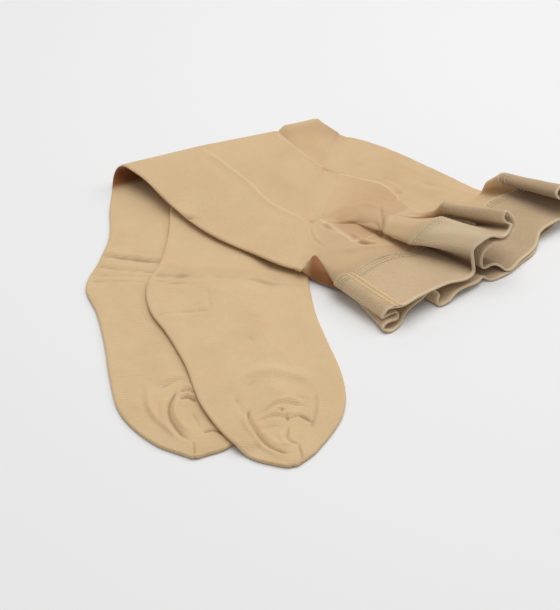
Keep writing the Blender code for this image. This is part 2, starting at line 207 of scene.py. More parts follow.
def makeMesh(name, points, faces, look, marks, clothAt=None, facing=None):
    # points in table centimetres and quads to a mesh object that rides on the garment; marks are
    # attributes by name. Doubles are merged and faces look out of the volume; a sheet that has
    # none is turned until its face nearest a spot looks along a way: facing = (spot, way).
    mesh = bpy.data.meshes.new(name)
    mesh.from_pydata(toFrame(points.reshape(-1, 3)).tolist(), [], faces.tolist())
    layer = mesh.uv_layers.new(name="cloth")
    if clothAt is not None:
        layer.data.foreach_set("uv", clothAt.ravel())
    for label, values in marks.items():
        mark = mesh.attributes.new(label, "FLOAT", "POINT")
        mark.data.foreach_set("value", np.ravel(values).astype(np.float32))
    body = bmesh.new()
    body.from_mesh(mesh)
    bmesh.ops.remove_doubles(body, verts=body.verts[:], dist=1e-6)
    bmesh.ops.recalc_face_normals(body, faces=body.faces[:])
    inward = body.calc_volume(signed=True) < 0
    body.to_mesh(mesh)
    body.free()
    if facing is not None:
        centres, normals = np.empty((2, len(mesh.polygons), 3), np.float32)
        mesh.polygons.foreach_get("center", centres.ravel())
        mesh.polygons.foreach_get("normal", normals.ravel())
        nearest = np.argmin(np.linalg.norm(centres - facing[0], axis=1))
        inward = normals[nearest] @ facing[1] < 0
    if inward:
        mesh.flip_normals()
    mesh.shade_smooth()
    mesh.materials.append(look)
    piece = putInScene(name, mesh)
    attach(piece, "root")
    print(name, len(mesh.polygons), "faces")
    return piece


def makePiece(name, points, look, wrap=False, tone=0.0, pale=0.0, out=None):
    # a grid of points as a piece, with its cloth map and two marks, "tone" (painted shade) and
    # "pale" (mostly painted highlight); a sheet without a volume looks to the side of the normals given
    # as out
    rows, columns = points.shape[:2]
    faces, places = gridFaces(rows, columns, wrap)
    plain = np.zeros((rows, columns))
    clothAt = clothMap(points, wrap).reshape(-1, 2)[places.ravel()]
    facing = None
    if out is not None:
        facing = (toFrame(points[rows // 2, columns // 3]), out[rows // 2, columns // 3])
    return makeMesh(name, points, faces, look, {"tone": plain + tone, "pale": plain + pale},
                    clothAt, facing)


def plug(tree, socket, value):
    # another node's output is linked to a socket, anything else becomes its value
    if hasattr(value, "links"):
        tree.links.new(value, socket)
    else:
        socket.default_value = value


def nodeWith(tree, kind, inputs):
    # a new node with sockets set or linked by name
    node = tree.nodes.new(kind)
    for name, value in inputs.items():
        plug(tree, node.inputs[name], value)
    return node


def mathNode(tree, operation, *values):
    # output of a new Math node that works on values, each a number or a node's output
    node = tree.nodes.new("ShaderNodeMath")
    node.operation = operation
    for socket, value in zip(node.inputs, values):
        plug(tree, socket, value)
    return node.outputs[0]


def knitGroup():
    # Height of a knit: ribs along the cloth plus a share of the courses across it, each
    # 0.5 + 0.5 sin(2 pi pace x cloth coordinate), plus fine fuzz.
    # Shade: 0.6 of soft mottling of the yarn and 0.4 of its fine grain.
    group = bpy.data.node_groups.new("knit", "ShaderNodeTree")
    for name, value in (("Ribs per cm", 7.0), ("Courses per cm", 9.0), ("Course share", 0.5),
                        ("Fuzz", 0.3)):
        socket = group.interface.new_socket(name=name, in_out="INPUT", socket_type="NodeSocketFloat")
        socket.default_value = value
    for name in ("Height", "Shade"):
        group.interface.new_socket(name=name, in_out="OUTPUT", socket_type="NodeSocketFloat")
    entry = group.nodes.new("NodeGroupInput")
    leave = group.nodes.new("NodeGroupOutput")
    clothUv = group.nodes.new("ShaderNodeUVMap")
    clothUv.uv_map = "cloth"
    split = nodeWith(group, "ShaderNodeSeparateXYZ", {"Vector": clothUv.outputs[0]})
    place = group.nodes.new("ShaderNodeTexCoord").outputs["Object"]

    def ripple(axis, pace):
        # 0.5 + 0.5 sin(2 pi x turns) of one cloth coordinate
        turns = mathNode(group, "MULTIPLY", split.outputs[axis], entry.outputs[pace])
        swing = mathNode(group, "SINE", mathNode(group, "MULTIPLY", turns, 2 * pi))
        return mathNode(group, "MULTIPLY_ADD", swing, 0.5, 0.5)

    def cloud(scale, detail, share):
        # a share of soft noise, with scale blobs in a metre
        noise = nodeWith(group, "ShaderNodeTexNoise",
                         {"Vector": place, "Scale": scale, "Detail": detail})
        return mathNode(group, "MULTIPLY", noise.outputs["Fac"], share)

    loops = mathNode(group, "MULTIPLY", ripple(1, "Courses per cm"), entry.outputs["Course share"])
    weave = mathNode(group, "ADD", ripple(0, "Ribs per cm"), loops)
    fuzz = cloud(1800.0, 2.0, entry.outputs["Fuzz"])
    plug(group, leave.inputs["Height"], mathNode(group, "ADD", weave, fuzz))
    shade = mathNode(group, "ADD", cloud(45.0, 4.0, 0.6), cloud(900.0, 3.0, 0.4))
    plug(group, leave.inputs["Shade"], shade)
    return group


def rgb(red, green, blue):
    # a display colour, 0 to 255, as the linear numbers Blender takes
    share = np.array([red, green, blue]) / 255.0
    linear = np.where(share <= 0.04045, share / 12.92, ((share + 0.055) / 1.055) ** 2.4)
    return (*[float(value) for value in linear], 1.0)


def newMaterial(name):
    # a material with nodes, and its Principled shader
    made = bpy.data.materials.new(name)
    made.use_nodes = True
    return made, made.node_tree.nodes["Principled BSDF"]


def clothMaterial(name, knit, look):
    # two yarn tones mixed by the knit's shade (the yarn's mottling), darker in its valleys as painted
    # shade, painted warm shade where "tone" marks it, and lighter where "pale" does: mostly painted
    # highlight
    made, shader = newMaterial(name)
    tree = made.node_tree
    weave = tree.nodes.new("ShaderNodeGroup")
    weave.node_tree = knit
    for socket, wanted in (("Ribs per cm", "ribs"), ("Courses per cm", "courses"),
                           ("Course share", "courseShare"), ("Fuzz", "fuzz")):
        weave.inputs[socket].default_value = look[wanted]

    def mix(factor, first, second):
        # colour between two, by a factor
        node = tree.nodes.new("ShaderNodeMix")
        node.data_type = "RGBA"
        for k, value in ((0, factor), (6, first), (7, second)):
            plug(tree, node.inputs[k], value)
        return node.outputs[2]

    spread = nodeWith(tree, "ShaderNodeMapRange", {
        "Value": weave.outputs["Shade"], "From Min": 0.3, "From Max": 0.7})
    # painted shade: towards the "deep" colour where the knit's height is low, between its ribs
    valley = nodeWith(tree, "ShaderNodeMapRange", {
        "Value": weave.outputs["Height"], "From Min": 0.0, "From Max": 0.9,
        "To Min": look["valley"], "To Max": 0.0})
    colour = mix(spread.outputs[0], look["light"], look["dark"])
    colour = mix(valley.outputs[0], colour, look["deep"])
    # painted shade in the "mark" colour where "tone" is set, then the "pale" colour: mostly painted
    # highlight
    for label, wanted in (("tone", "mark"), ("pale", "pale")):
        mark = tree.nodes.new("ShaderNodeAttribute")
        mark.attribute_name = label
        colour = mix(mark.outputs["Fac"], colour, look[wanted])
    bump = nodeWith(tree, "ShaderNodeBump", {
        "Height": weave.outputs["Height"], "Distance": look["bump"], "Strength": 1.0})
    for socket, value in (
            ("Base Color", colour), ("Normal", bump.outputs[0]), ("Roughness", look["roughness"]),
            ("Specular IOR Level", 0.25), ("Sheen Weight", look["sheen"]), ("Sheen Roughness", 0.45),
            ("Sheen Tint", (1.0, 0.93, 0.82, 1.0)), ("Subsurface Weight", look["glow"]),
            ("Subsurface Radius", (1.0, 0.45, 0.2)), ("Subsurface Scale", 0.004)):
        plug(tree, shader.inputs[socket], value)
    return made


knit = knitGroup()
plainKnit = {
    "light": rgb(224, 193, 150), "dark": rgb(214, 182, 139), "deep": rgb(196, 160, 116),   # yarn, and painted shade in the knit's valleys
    "mark": rgb(142, 82, 36), "pale": rgb(232, 206, 166),   # painted shade in the folds, painted highlight on the rims
    "ribs": 8.0, "courses": 8.0, "courseShare": 0.7,        # in a centimetre; courses beside ribs
    "fuzz": 0.6, "valley": 0.2,                             # and how much darker between ribs, as painted shade
    "roughness": 0.7, "sheen": 0.25, "glow": 0.22,
    "bump": 0.00005,                                        # metres
}
# in each, "mark" is the colour of painted shade and "pale" mostly that of painted highlight; the stitches
# take the thread's "pale" all over
finishes = {
    "leg": {**plainKnit, "mark": rgb(140, 86, 46), "pale": rgb(234, 208, 168), "courses": 6.5,
            "courseShare": 2.5, "fuzz": 0.9, "roughness": 0.72, "glow": 0.15, "bump": 0.00004},
    "brief": plainKnit,
    "gusset": {**plainKnit, "light": rgb(223, 192, 149), "dark": rgb(213, 181, 138),
               "deep": rgb(195, 159, 115), "mark": rgb(150, 96, 50), "ribs": 9.0, "courses": 7.0,
               "valley": 0.25, "roughness": 0.75, "glow": 0.15, "bump": 0.00007},
    "elastic": {"light": rgb(219, 192, 156), "dark": rgb(208, 180, 143), "deep": rgb(168, 136, 100),
                "mark": rgb(84, 52, 30), "pale": rgb(228, 206, 172), "ribs": 8.0, "courses": 6.5,
                "courseShare": 1.0, "fuzz": 0.4, "valley": 0.36, "roughness": 0.8, "sheen": 0.2,
                "glow": 0.1, "bump": 0.00016},
    "thread": {"light": rgb(220, 188, 142), "dark": rgb(206, 170, 122), "deep": rgb(176, 138, 92),
               "mark": rgb(150, 108, 66), "pale": rgb(234, 208, 164), "ribs": 12.0,
               "courses": 12.0, "courseShare": 0.5, "fuzz": 0.8, "valley": 0.2, "roughness": 0.6,
               "sheen": 0.2, "glow": 0.1, "bump": 0.00006},
}
looks = {name: clothMaterial(name + "Knit", knit, values) for name, values in finishes.items()}
print("materials made")

fold = {
    "start": np.array([-11.9, 13.75]),   # slanted line that the legs fold over
    "end": np.array([3.4, 22.30]),
    "radius": 1.0,                       # fuller at its left end,
    "taper": 0.0235,                     # radius lost per centimetre
    "pressed": (0.12, 7.0, 6.0),         # pressed flatter by this much, from here, over this
    "settle": 4.0,                       # the upper stretch comes down over this length
}
foldWay = unit(fold["end"] - fold["start"])
foldOut = np.array([-foldWay[1], foldWay[0]])

legUnder = {
    "name": "leg_under",
    "lower": (
        # station       left x  left y  right x right y
        ("toe end",     -5.25, -13.75,  -4.40, -13.70),
        ("toe",         -7.40, -12.55,  -2.80, -12.75),
        ("ball",        -9.67,  -9.92,  -1.20,  -9.60),
        ("mid foot",   -10.51,  -7.16,  -1.15,  -6.60),
        ("arch",       -11.24,  -3.94,  -1.80,  -3.20),
        ("heel front", -12.14,  -0.89,  -2.40,  -0.40),
        ("heel",       -13.16,   1.60,  -2.60,   2.10),
        ("ankle",      -12.60,   4.70,  -3.00,   5.00),
        ("shin",       -12.27,   7.18,  -3.20,   7.90),
        ("calf",       -12.62,  10.80,  -2.50,  13.20),
    ),
    # centimetres along the fold line: left edge in and out, right edge in and out
    "foldEdges": (-0.95, 0.35, 12.2, 13.6),
    "upper": (
        ("fold side",  -10.03,  12.42,   0.90,  18.40),
        ("thigh",       -7.84,   9.68,   1.79,  17.18),
        ("upper thigh", -5.46,   7.02,   2.50,  16.20),
        ("hip fold",    -2.08,   4.57,   3.30,  15.50),
        ("brief line",   1.20,   2.80,   4.02,  14.70),
        ("under brief",  1.55,   2.78,   4.34,  14.62),
    ),
    "rows": (225, 30, 125),              # below the fold, round it, above it
    "across": 92,
}
legOver = {
    "name": "leg_over",
    "lower": (
        ("toe end",      0.10, -14.48,   1.35, -14.20),
        ("toe",         -1.71, -13.71,   2.20, -13.10),
        ("ball",        -4.58, -10.11,   3.85,  -9.90),
        ("mid foot",    -5.97,  -6.17,   3.80,  -6.70),
        ("arch",        -7.31,  -3.36,   2.90,  -3.30),
        ("heel front",  -8.53,  -1.18,   2.37,  -1.15),
        ("heel",        -9.00,   1.40,   2.04,   1.40),
        ("ankle",       -8.30,   4.00,   1.85,   4.00),
        ("shin",        -8.01,   6.84,   1.25,   7.60),
        ("calf",        -8.02,  11.19,   1.50,  13.50),
    ),
    "foldEdges": (5.50, 7.00, 16.3, 17.3),
    "upper": (
        ("fold side",   -4.60,  15.30,   3.45,  21.75),
        ("thigh",       -2.63,  13.10,   4.05,  21.14),
        ("upper thigh", -0.58,  10.40,   4.60,  20.65),
        ("brief line",   2.43,   8.00,   5.30,  20.10),
        ("under brief",  2.75,   7.92,   5.62,  19.96),
    ),
    "rows": (240, 30, 85),
    "across": 98,
}
pileTop = plateThrough((
    # spot of the pile's upper face      x     y     z
    ("roll, left end",                -10.0, 12.4, 1.70),
    ("edge by the roll",               -7.8,  9.7, 1.36),
    ("edge, middle",                   -3.9,  5.6, 1.08),
    ("edge on the foot",                0.6,  3.2, 0.98),
    ("thigh middle",                   -3.0, 11.5, 1.34),
    ("roll, middle",                   -1.5, 16.4, 1.36),
    ("roll, right part",                0.5, 19.6, 1.34),
    ("crotch",                          2.2,  8.0, 1.12),
    ("gusset far end",                  3.5, 15.0, 0.95),
    ("back corner",                     3.6, 21.0, 0.80),
    ("back edge",                       7.3, 19.3, 0.70),
))

# Relief of the feet's upper faces: height, width, share that fades at each end, and the line.
reliefOver = (
    ("heel patch, upper",   -0.050, 0.12, 0.10, ((-8.7, 1.85), (-6.4, 1.52), (-4.95, 1.42))),
    ("heel patch, toe end", -0.040, 0.10, 0.12, ((-5.05, 1.4), (-4.75, 0.2), (-4.59, -1.2))),
    ("heel patch, lower",   -0.042, 0.12, 0.10, ((-4.45, -1.15), (-6.2, -1.4), (-8.2, -1.7))),
    ("ankle trough",        -0.045, 0.45, 0.05, ((-8.9, 2.55), (-3.4, 2.25), (2.2, 1.7))),
    ("ankle rise",           0.055, 0.40, 0.10, ((-8.2, 3.7), (-3.4, 3.2), (1.9, 2.8))),
    ("ankle rise, lower",    0.050, 0.45, 0.35, ((-8.4, 1.0), (-3.4, 0.9), (1.9, 0.6))),
    ("shin ripple",         -0.030, 0.35, 0.40, ((-8.0, 5.3), (-4.2, 5.0), (-1.0, 4.6))),
    ("arch ripple",         -0.025, 0.60, 0.40, ((-6.6, -4.2), (-2.5, -3.9), (1.5, -4.4))),
    ("foot seam",           -0.010, 0.10, 0.45, ((-2.3, -2.6), (-1.3, -5.3), (-0.49, -7.11))),
    ("toe cap rise",         0.060, 0.34, 0.30, ((-2.9, -9.1), (-2.3, -7.6), (-0.9, -6.85), (0.4, -6.85),
        (1.6, -7.3), (2.3, -8.2))),
    ("toe cap fall",        -0.040, 0.34, 0.30, ((-2.4, -9.4), (-2.0, -8.3), (-1.1, -7.65), (0.2, -7.5),
        (1.3, -7.85), (1.9, -8.5))),
    ("right wall",          -0.050, 0.10, 0.20, ((2.14, -8.35), (2.03, -10.39), (1.76, -11.83))),
    ("right wall's lip",     0.040, 0.16, 0.30, ((2.4, -8.35), (2.3, -10.4), (2.05, -11.8))),
    ("toe pocket, left",    -0.075, 0.10, 0.15, ((-1.75, -9.9), (-1.85, -10.31), (-1.8, -11.19),
        (-1.24, -12.26), (-0.41, -13.07), (0.31, -13.42), (0.85, -13.5))),
    ("pocket's outer lip",   0.060, 0.16, 0.25, ((-2.1, -10.3), (-2.08, -11.3), (-1.45, -12.5),
        (-0.55, -13.35), (0.4, -13.75))),
    ("pocket's inner lip",   0.060, 0.22, 0.25, ((-1.5, -10.5), (-1.45, -11.1), (-0.95, -12.0),
        (-0.2, -12.7), (0.6, -13.0))),
    ("toe bulge",            0.080, 0.70, 0.35, ((-0.9, -9.0), (0.4, -8.7), (1.3, -9.3))),
    ("crumple 1",           -0.055, 0.09, 0.25, ((-1.67, -11.2), (-0.95, -10.46), (-0.11, -9.72),
        (0.64, -9.57), (1.38, -9.64), (1.96, -9.94))),
    ("crumple 1 lip",        0.040, 0.16, 0.30, ((-1.1, -10.2), (-0.11, -9.35), (0.64, -9.2),
        (1.7, -9.45))),
    ("crumple 2",           -0.048, 0.10, 0.15, ((-1.56, -11.5), (-0.84, -10.97), (-0.11, -10.61),
        (0.53, -10.68), (1.05, -10.46), (1.88, -11.04))),
    ("crumple 2 lip",        0.028, 0.18, 0.30, ((-1.2, -10.9), (-0.4, -10.35), (0.3, -10.3),
        (0.9, -10.15), (1.7, -10.55))),
    ("crumple 3",           -0.045, 0.11, 0.30, ((1.05, -10.46), (1.5, -10.6), (1.95, -11.15))),
    ("right fold",          -0.030, 0.12, 0.35, ((0.9, -8.9), (1.4, -9.1), (1.9, -9.1))),
    ("crumple 4",           -0.035, 0.11, 0.35, ((-1.3, -12.1), (-0.5, -11.5), (0.3, -11.3))),
    ("pit 1",               -0.090, 0.11, 0.10, ((0.0, -10.25), (0.19, -10.0))),
    ("pit 2",               -0.070, 0.09, 0.20, ((0.38, -10.3), (0.47, -11.0))),
    ("toe seam, upper",     -0.070, 0.07, 0.15, ((0.54, -11.3), (0.49, -12.38), (1.13, -12.85))),
    ("seam's bulge",         0.060, 0.20, 0.30, ((0.1, -11.6), (0.1, -12.4), (0.7, -13.0))),
    ("toe seam, lower",     -0.070, 0.07, 0.10, ((1.05, -12.8), (1.22, -13.51), (1.27, -14.45))),
    ("soft valley, left",   -0.050, 0.20, 0.30, ((-2.7, -8.7), (-2.52, -9.79), (-2.12, -10.7),
        (-1.83, -11.3))),
)
reliefUnder = (
    ("ankle fold 1",       -0.065, 0.20, 0.06, ((-12.7, 5.2), (-11.0, 4.85), (-8.0, 4.3))),
    ("ankle fold 1 lip",    0.055, 0.18, 0.06, ((-12.6, 5.6), (-11.0, 5.25), (-8.0, 4.75))),
    ("ankle fold 2",       -0.055, 0.18, 0.06, ((-12.95, 3.95), (-11.0, 3.55), (-8.0, 3.2))),
    ("ankle fold 3",       -0.045, 0.13, 0.06, ((-13.1, 3.0), (-11.3, 2.78), (-8.0, 2.62))),
    ("ankle fold 2 lip",    0.040, 0.20, 0.30, ((-12.9, 4.35), (-11.0, 4.0), (-9.1, 3.75))),
    ("heel patch, upper",  -0.055, 0.11, 0.06, ((-12.9, 2.22), (-11.0, 2.12), (-9.04, 2.07))),
    ("heel patch, lower",  -0.014, 0.07, 0.25, ((-11.56, -0.67), (-10.2, -0.6), (-8.7, -0.57))),
    ("shin ripple",        -0.020, 0.30, 0.40, ((-12.1, 7.3), (-10.4, 7.1), (-8.6, 6.9))),
    ("foot dent",          -0.040, 0.80, 0.40, ((-10.2, -4.6), (-8.6, -4.9), (-6.8, -5.2))),
    ("pocket, left",       -0.090, 0.11, 0.20, ((-6.2, -7.9), (-6.33, -8.54), (-6.62, -9.6),
        (-6.55, -10.49), (-6.06, -11.51), (-5.49, -12.29), (-4.95, -12.7))),
    ("pocket's outer lip",  0.060, 0.18, 0.25, ((-6.75, -8.6), (-6.98, -9.7), (-6.9, -10.7),
        (-6.35, -11.8), (-5.6, -12.7))),
    ("pocket's inner lip",  0.080, 0.18, 0.25, ((-5.95, -8.9), (-6.25, -9.7), (-6.15, -10.4),
        (-5.7, -11.3), (-5.0, -12.1))),
    ("toe cap rise",        0.060, 0.22, 0.30, ((-7.6, -7.95), (-7.0, -7.35), (-6.3, -7.05),
        (-5.6, -6.95))),
    ("toe cap fall",       -0.050, 0.15, 0.30, ((-7.4, -8.45), (-6.9, -7.85), (-6.3, -7.55),
        (-5.5, -7.45))),
    ("outer ridge",         0.060, 0.18, 0.30, ((-8.05, -8.2), (-7.8, -9.75), (-7.15, -10.9),
        (-5.9, -12.3))),
    ("outer valley",       -0.040, 0.22, 0.30, ((-8.45, -7.5), (-8.25, -9.3), (-7.65, -10.8),
        (-6.9, -11.8))),
    ("crumple 1",          -0.085, 0.09, 0.20, ((-6.15, -8.4), (-5.63, -8.35), (-5.1, -8.6))),
    ("crumple 1 lip",       0.070, 0.13, 0.30, ((-6.0, -8.05), (-5.6, -7.98), (-5.1, -8.15))),
    ("crumple 2",          -0.095, 0.10, 0.20, ((-6.15, -9.15), (-5.6, -8.92), (-4.95, -9.3))),
    ("crumple 2 lip",       0.060, 0.12, 0.30, ((-6.0, -8.75), (-5.5, -8.62), (-5.0, -8.95))),
    ("crumple 3",          -0.080, 0.10, 0.20, ((-4.6, -11.9), (-3.86, -11.65), (-3.2, -11.98))),
    ("crumple 4",          -0.050, 0.10, 0.25, ((-5.3, -10.0), (-4.9, -10.9), (-4.7, -11.8))),
    ("toe seam",           -0.060, 0.07, 0.10, ((-5.0, -12.64), (-4.94, -13.2), (-4.88, -13.8))),
)
# Relief of the upper layer: folded thigh and brief in one, so that it runs on across the seam.
crotch = (2.2, 7.95)
lowerEdge = ((-6.2, 16.96), (-2.63, 13.06), (-0.58, 9.97), (1.9, 8.05))      # of the leg below
underEdge = ((-0.4, 19.75), (0.5, 18.75), (1.79, 17.0), (3.45, 15.1))        # of the other leg
reliefTop = (
    ("under leg's edge",   0.090, 0.10, 0.06, underEdge + ((4.3, 14.6), (5.2, 14.45))),
    ("lower leg's edge",   0.080, 0.09, 0.06, lowerEdge),
    ("beside that edge",  -0.035, 0.30, 0.20, ((-6.6, 16.5), (-3.05, 12.7), (-0.95, 9.6), (1.3, 7.9))),
    ("slit by the edge",  -0.130, 0.11, 0.30, ((-7.4, 8.7), (-6.4, 8.24), (-5.69, 8.1))),
    ("slit's upper lip",   0.070, 0.20, 0.40, ((-7.2, 9.2), (-6.4, 8.62), (-5.4, 8.38))),
    ("thigh fold 1",      -0.030, 0.45, 0.40, ((-4.8, 13.22), (-3.05, 14.92))),
    ("thigh fold 2",      -0.028, 0.35, 0.40, ((-4.9, 9.6), (-2.6, 9.2), (-0.9, 8.3))),
    ("thigh fold 3",      -0.030, 0.40, 0.40, ((-2.6, 7.8), (-0.9, 7.4), (1.0, 7.3))),
    ("thigh fold 4",      -0.022, 0.40, 0.40, ((-1.9, 14.5), (0.3, 12.4), (1.9, 11.4))),
    ("star 1",            -0.085, 0.12, 0.25, (crotch, (3.6, 8.84), (4.59, 9.57), (5.58, 10.2),
        (6.94, 10.5))),
    ("star 2",            -0.075, 0.11, 0.25, (crotch, (3.79, 7.62), (4.96, 7.3), (6.09, 6.55),
        (6.9, 6.29))),
    ("star 3",            -0.075, 0.11, 0.25, (crotch, (3.54, 7.02), (4.44, 6.22), (5.22, 5.51),
        (6.92, 4.94))),
    ("star 4",             0.040, 0.12, 0.30, (crotch, (2.46, 6.29), (2.9, 5.42), (3.68, 4.65))),
    ("to crotch, up",     -0.035, 0.14, 0.35, (crotch, (2.45, 9.1), (3.1, 10.4))),
    ("to crotch, down",   -0.035, 0.12, 0.35, (crotch, (2.15, 7.1), (1.75, 6.2))),
    ("to crotch, left",   -0.030, 0.12, 0.35, (crotch, (1.3, 7.5), (0.4, 7.2))),
    ("crotch pinch",      -0.110, 0.16, 0.30, ((2.0, 8.05), (2.5, 7.85))),
    ("crest a",            0.150, 0.34, 0.25, (crotch, (3.6, 8.8), (5.26, 9.2), (6.55, 9.3), (7.6, 8.6))),
    ("shade under a",     -0.070, 0.45, 0.35, ((3.2, 8.0), (4.6, 8.1), (6.0, 8.1))),
    ("crest b",            0.075, 0.14, 0.25, (crotch, (3.6, 7.46), (5.2, 6.95), (5.96, 6.4))),
    ("shade over b",      -0.070, 0.16, 0.35, ((3.4, 7.75), (5.1, 7.25), (6.1, 6.7))),
    ("gusset seam, near", -0.045, 0.08, 0.10, (crotch, (2.86, 7.7), (3.58, 6.83), (4.66, 5.35),
        (4.95, 4.85))),
    ("gusset arc",        -0.028, 0.09, 0.15, ((2.21, 7.49), (2.19, 6.68), (2.52, 5.56), (3.49, 4.35),
        (3.9, 4.1))),
    ("ridge e",            0.110, 0.13, 0.25, ((5.0, 6.1), (5.74, 5.15), (6.66, 4.45), (7.0, 4.35))),
    ("slit e",            -0.260, 0.12, 0.30, ((5.2, 5.1), (5.89, 4.6), (6.74, 4.15))),
    ("deep crease 1",     -0.130, 0.10, 0.20, ((7.11, 9.67), (7.24, 8.84), (7.17, 7.01), (7.09, 5.63),
        (7.0, 4.67))),
    ("deep crease 2",     -0.080, 0.09, 0.30, ((6.32, 6.55), (6.75, 5.96), (6.98, 5.09))),
    ("deep crease 3",     -0.060, 0.12, 0.35, ((7.9, 9.3), (7.6, 8.2), (7.25, 6.9))),
    ("beside the crease",  0.070, 0.22, 0.35, ((7.65, 8.0), (7.55, 6.6), (7.45, 5.4))),
    ("brief fold, long",   0.050, 0.16, 0.35, ((6.18, 14.1), (7.78, 13.6), (8.91, 12.1), (10.0, 10.6))),
    ("near ridge",         0.160, 0.30, 0.30, ((3.6, 3.9), (5.24, 3.95), (7.06, 4.05), (8.5, 4.4))),
    ("ridge from roll",    0.220, 0.22, 0.30, ((8.6, 7.9), (9.5, 7.1), (10.3, 6.2), (11.0, 5.6))),
    ("recess by roll",    -0.160, 0.24, 0.35, ((9.2, 6.5), (9.9, 5.7), (10.5, 5.0))),
    ("far hollow",        -0.090, 0.50, 0.40, ((8.5, 12.3), (8.9, 11.9), (9.2, 11.3))),
    ("far shade",         -0.070, 0.60, 0.40, ((7.2, 14.2), (8.5, 13.5), (9.6, 13.2))),
    ("far ripple 1",      -0.060, 0.40, 0.40, ((9.6, 14.2), (11.2, 12.8), (12.6, 11.8))),
    ("far ripple 2",       0.060, 0.40, 0.40, ((9.4, 13.0), (11.0, 11.9), (12.4, 11.0))),
    ("far ripple 3",      -0.050, 0.45, 0.40, ((6.5, 17.3), (8.8, 15.4), (10.6, 14.0))),
)
# Painted highlight along the ridge where an edge below lifts the upper layer, and along the feet's
# toe cap and heel patch lines: strength, width, fade and the line.
edgeHighlights = (
    ("lower leg's edge", 0.45, 0.10, 0.05, lowerEdge),
    ("under leg's edge", 0.50, 0.10, 0.05, underEdge),
)
footHighlights = (
    ("toe cap",     0.20, 0.45, 0.30, ((-2.9, -8.9), (-2.0, -7.0), (-0.2, -6.5), (1.6, -6.7),
        (2.5, -8.2))),
    ("heel patch",  0.20, 0.08, 0.20, ((-4.59, -1.35), (-6.2, -1.55), (-7.83, -1.75))),
)
# Where the thigh is darker: strength, width, fade and the line.
shadeTop = (
    ("all of it",        0.06, 99.00, 0.00, ((-4.0, 12.0), (0.0, 14.0))),
    ("back corner",      0.20, 1.30, 0.00, ((0.6, 20.9), (4.2, 20.6))),
    ("beside the edge",  0.06, 1.20, 0.30, ((-3.0, 15.0), (0.5, 12.0), (2.0, 10.0))),
)


def pastLid(along):
    # 0 on the fold line under the other leg, easing to 1 past its edge
    return ease((along - legUnder["foldEdges"][3] + 0.5) / 1.3)


def foldRadius(along, leg):
    # radius the tube's middle turns on: full - taper x along, less a stack under the other leg
    outer = fold["radius"] - fold["taper"] * along - cloth["tube"] / 2
    depth, start, length = fold["pressed"]
    free = pastLid(along)
    flatter = depth * np.clip((along - start) / length, 0, 1)
    if leg is legOver:
        return outer - stack * (1 - free) - flatter * (1 - free)
    return outer - flatter


def edgeAt(y, edge):
    # x, at some y, of an edge line that runs up the table
    order = np.argsort(edge[:, 1])
    return np.interp(y, edge[order, 1], edge[order, 0])


def coveredBy(x, y, edge):
    # 1 left of an edge line that runs up the table, easing to 0 right of it
    return 1.0 - ease((x - edgeAt(y, edge) - cloth["edgeClear"]) / cloth["lean"])


def onFoldLine(along):
    # place on the surface under the fold line: start + along x its heading
    return fold["start"] + np.asarray(along, float)[..., None] * foldWay


def lidEdge():
    # right edge of the under leg's upper stretch, which lies as a lid on the over leg
    return np.vstack([onFoldLine(legUnder["foldEdges"][3]), numbers(legUnder["upper"])[:, 2:]])


def legMiddle(leg, outlines, share):
    # middle surface of the flattened tube: flat below the fold, half a turn of shrinking radius
    # round the slanted line, then down onto the pile; share runs from left edge to right edge
    lower, upper, turn = outlines
    under = np.vstack([numbers(legUnder["lower"])[:, 2:], onFoldLine(legUnder["foldEdges"][2])])
    first, last = len(lower), len(lower) + len(turn)
    halfTube = cloth["tube"] / 2

    # on the surface, or on the other leg
    part = share[:first]
    flat = lower[:, None, :2] * (1 - part[..., None]) + lower[:, None, 2:] * part[..., None]
    rest = np.zeros(part.shape)
    if leg is legOver:
        rest = stack * coveredBy(flat[..., 0], flat[..., 1], under)
    low = np.dstack([flat, rest + halfTube])

    # round the fold
    part = share[first:last]
    edges = leg["foldEdges"]
    swing = (turn / pi)[:, None]
    left = edges[0] + (edges[1] - edges[0]) * swing
    right = edges[2] + (edges[3] - edges[2]) * swing
    along = left * (1 - part) + right * part
    radius = foldRadius(along, leg)
    base = np.zeros(along.shape)
    if leg is legOver:
        comingOut = stack * (1.0 - pastLid(along))
        base = rest[-1:] * (1 - swing) + comingOut * swing
    ground = onFoldLine(along) + (radius * np.sin(turn)[:, None])[..., None] * foldOut
    bent = np.dstack([ground, base + radius + halfTube - radius * np.cos(turn)[:, None]])

    # back over the pile
    part = share[last:]
    flat = upper[:, None, :2] * (1 - part[..., None]) + upper[:, None, 2:] * part[..., None]
    height = pileTop(flat[..., 0], flat[..., 1])
    along = (flat - fold["start"]) @ foldWay
    away = -((flat - fold["start"]) @ foldOut)
    base = np.zeros(along.shape)
    if leg is legOver:
        height = height - stack * coveredBy(flat[..., 0], flat[..., 1], lidEdge())
        base = stack * (1.0 - pastLid(along))
    rolled = base + 2 * foldRadius(along, leg) + halfTube
    settle = ease(away / fold["settle"])
    high = np.dstack([flat, rolled * (1 - settle) + (height - halfTube) * settle])
    return np.concatenate([low, bent, high])


def edgeRound(distance, half):
    # half thickness of a pressed tube at a distance from its fold: a quarter ellipse, then flat
    run = 1.6 * half
    return half * np.sqrt(1 - (1 - np.clip(distance / run, 0.0, 1.0)) ** 2)


def tube(middle, normal, up, down):
    # closed tube round a middle surface: up off it, and back along it down from it
    upSide = middle + normal * up[..., None]
    downSide = middle - normal * down[..., None]
    return np.concatenate([upSide, downSide[:, -2:0:-1]], axis=1)


def topRelief(x, y):
    # creases and broad waves of the upper layer, the same for the thighs and the brief
    return creases(x, y, reliefTop) + 0.020 * waves(x, y, 3.6, 13)


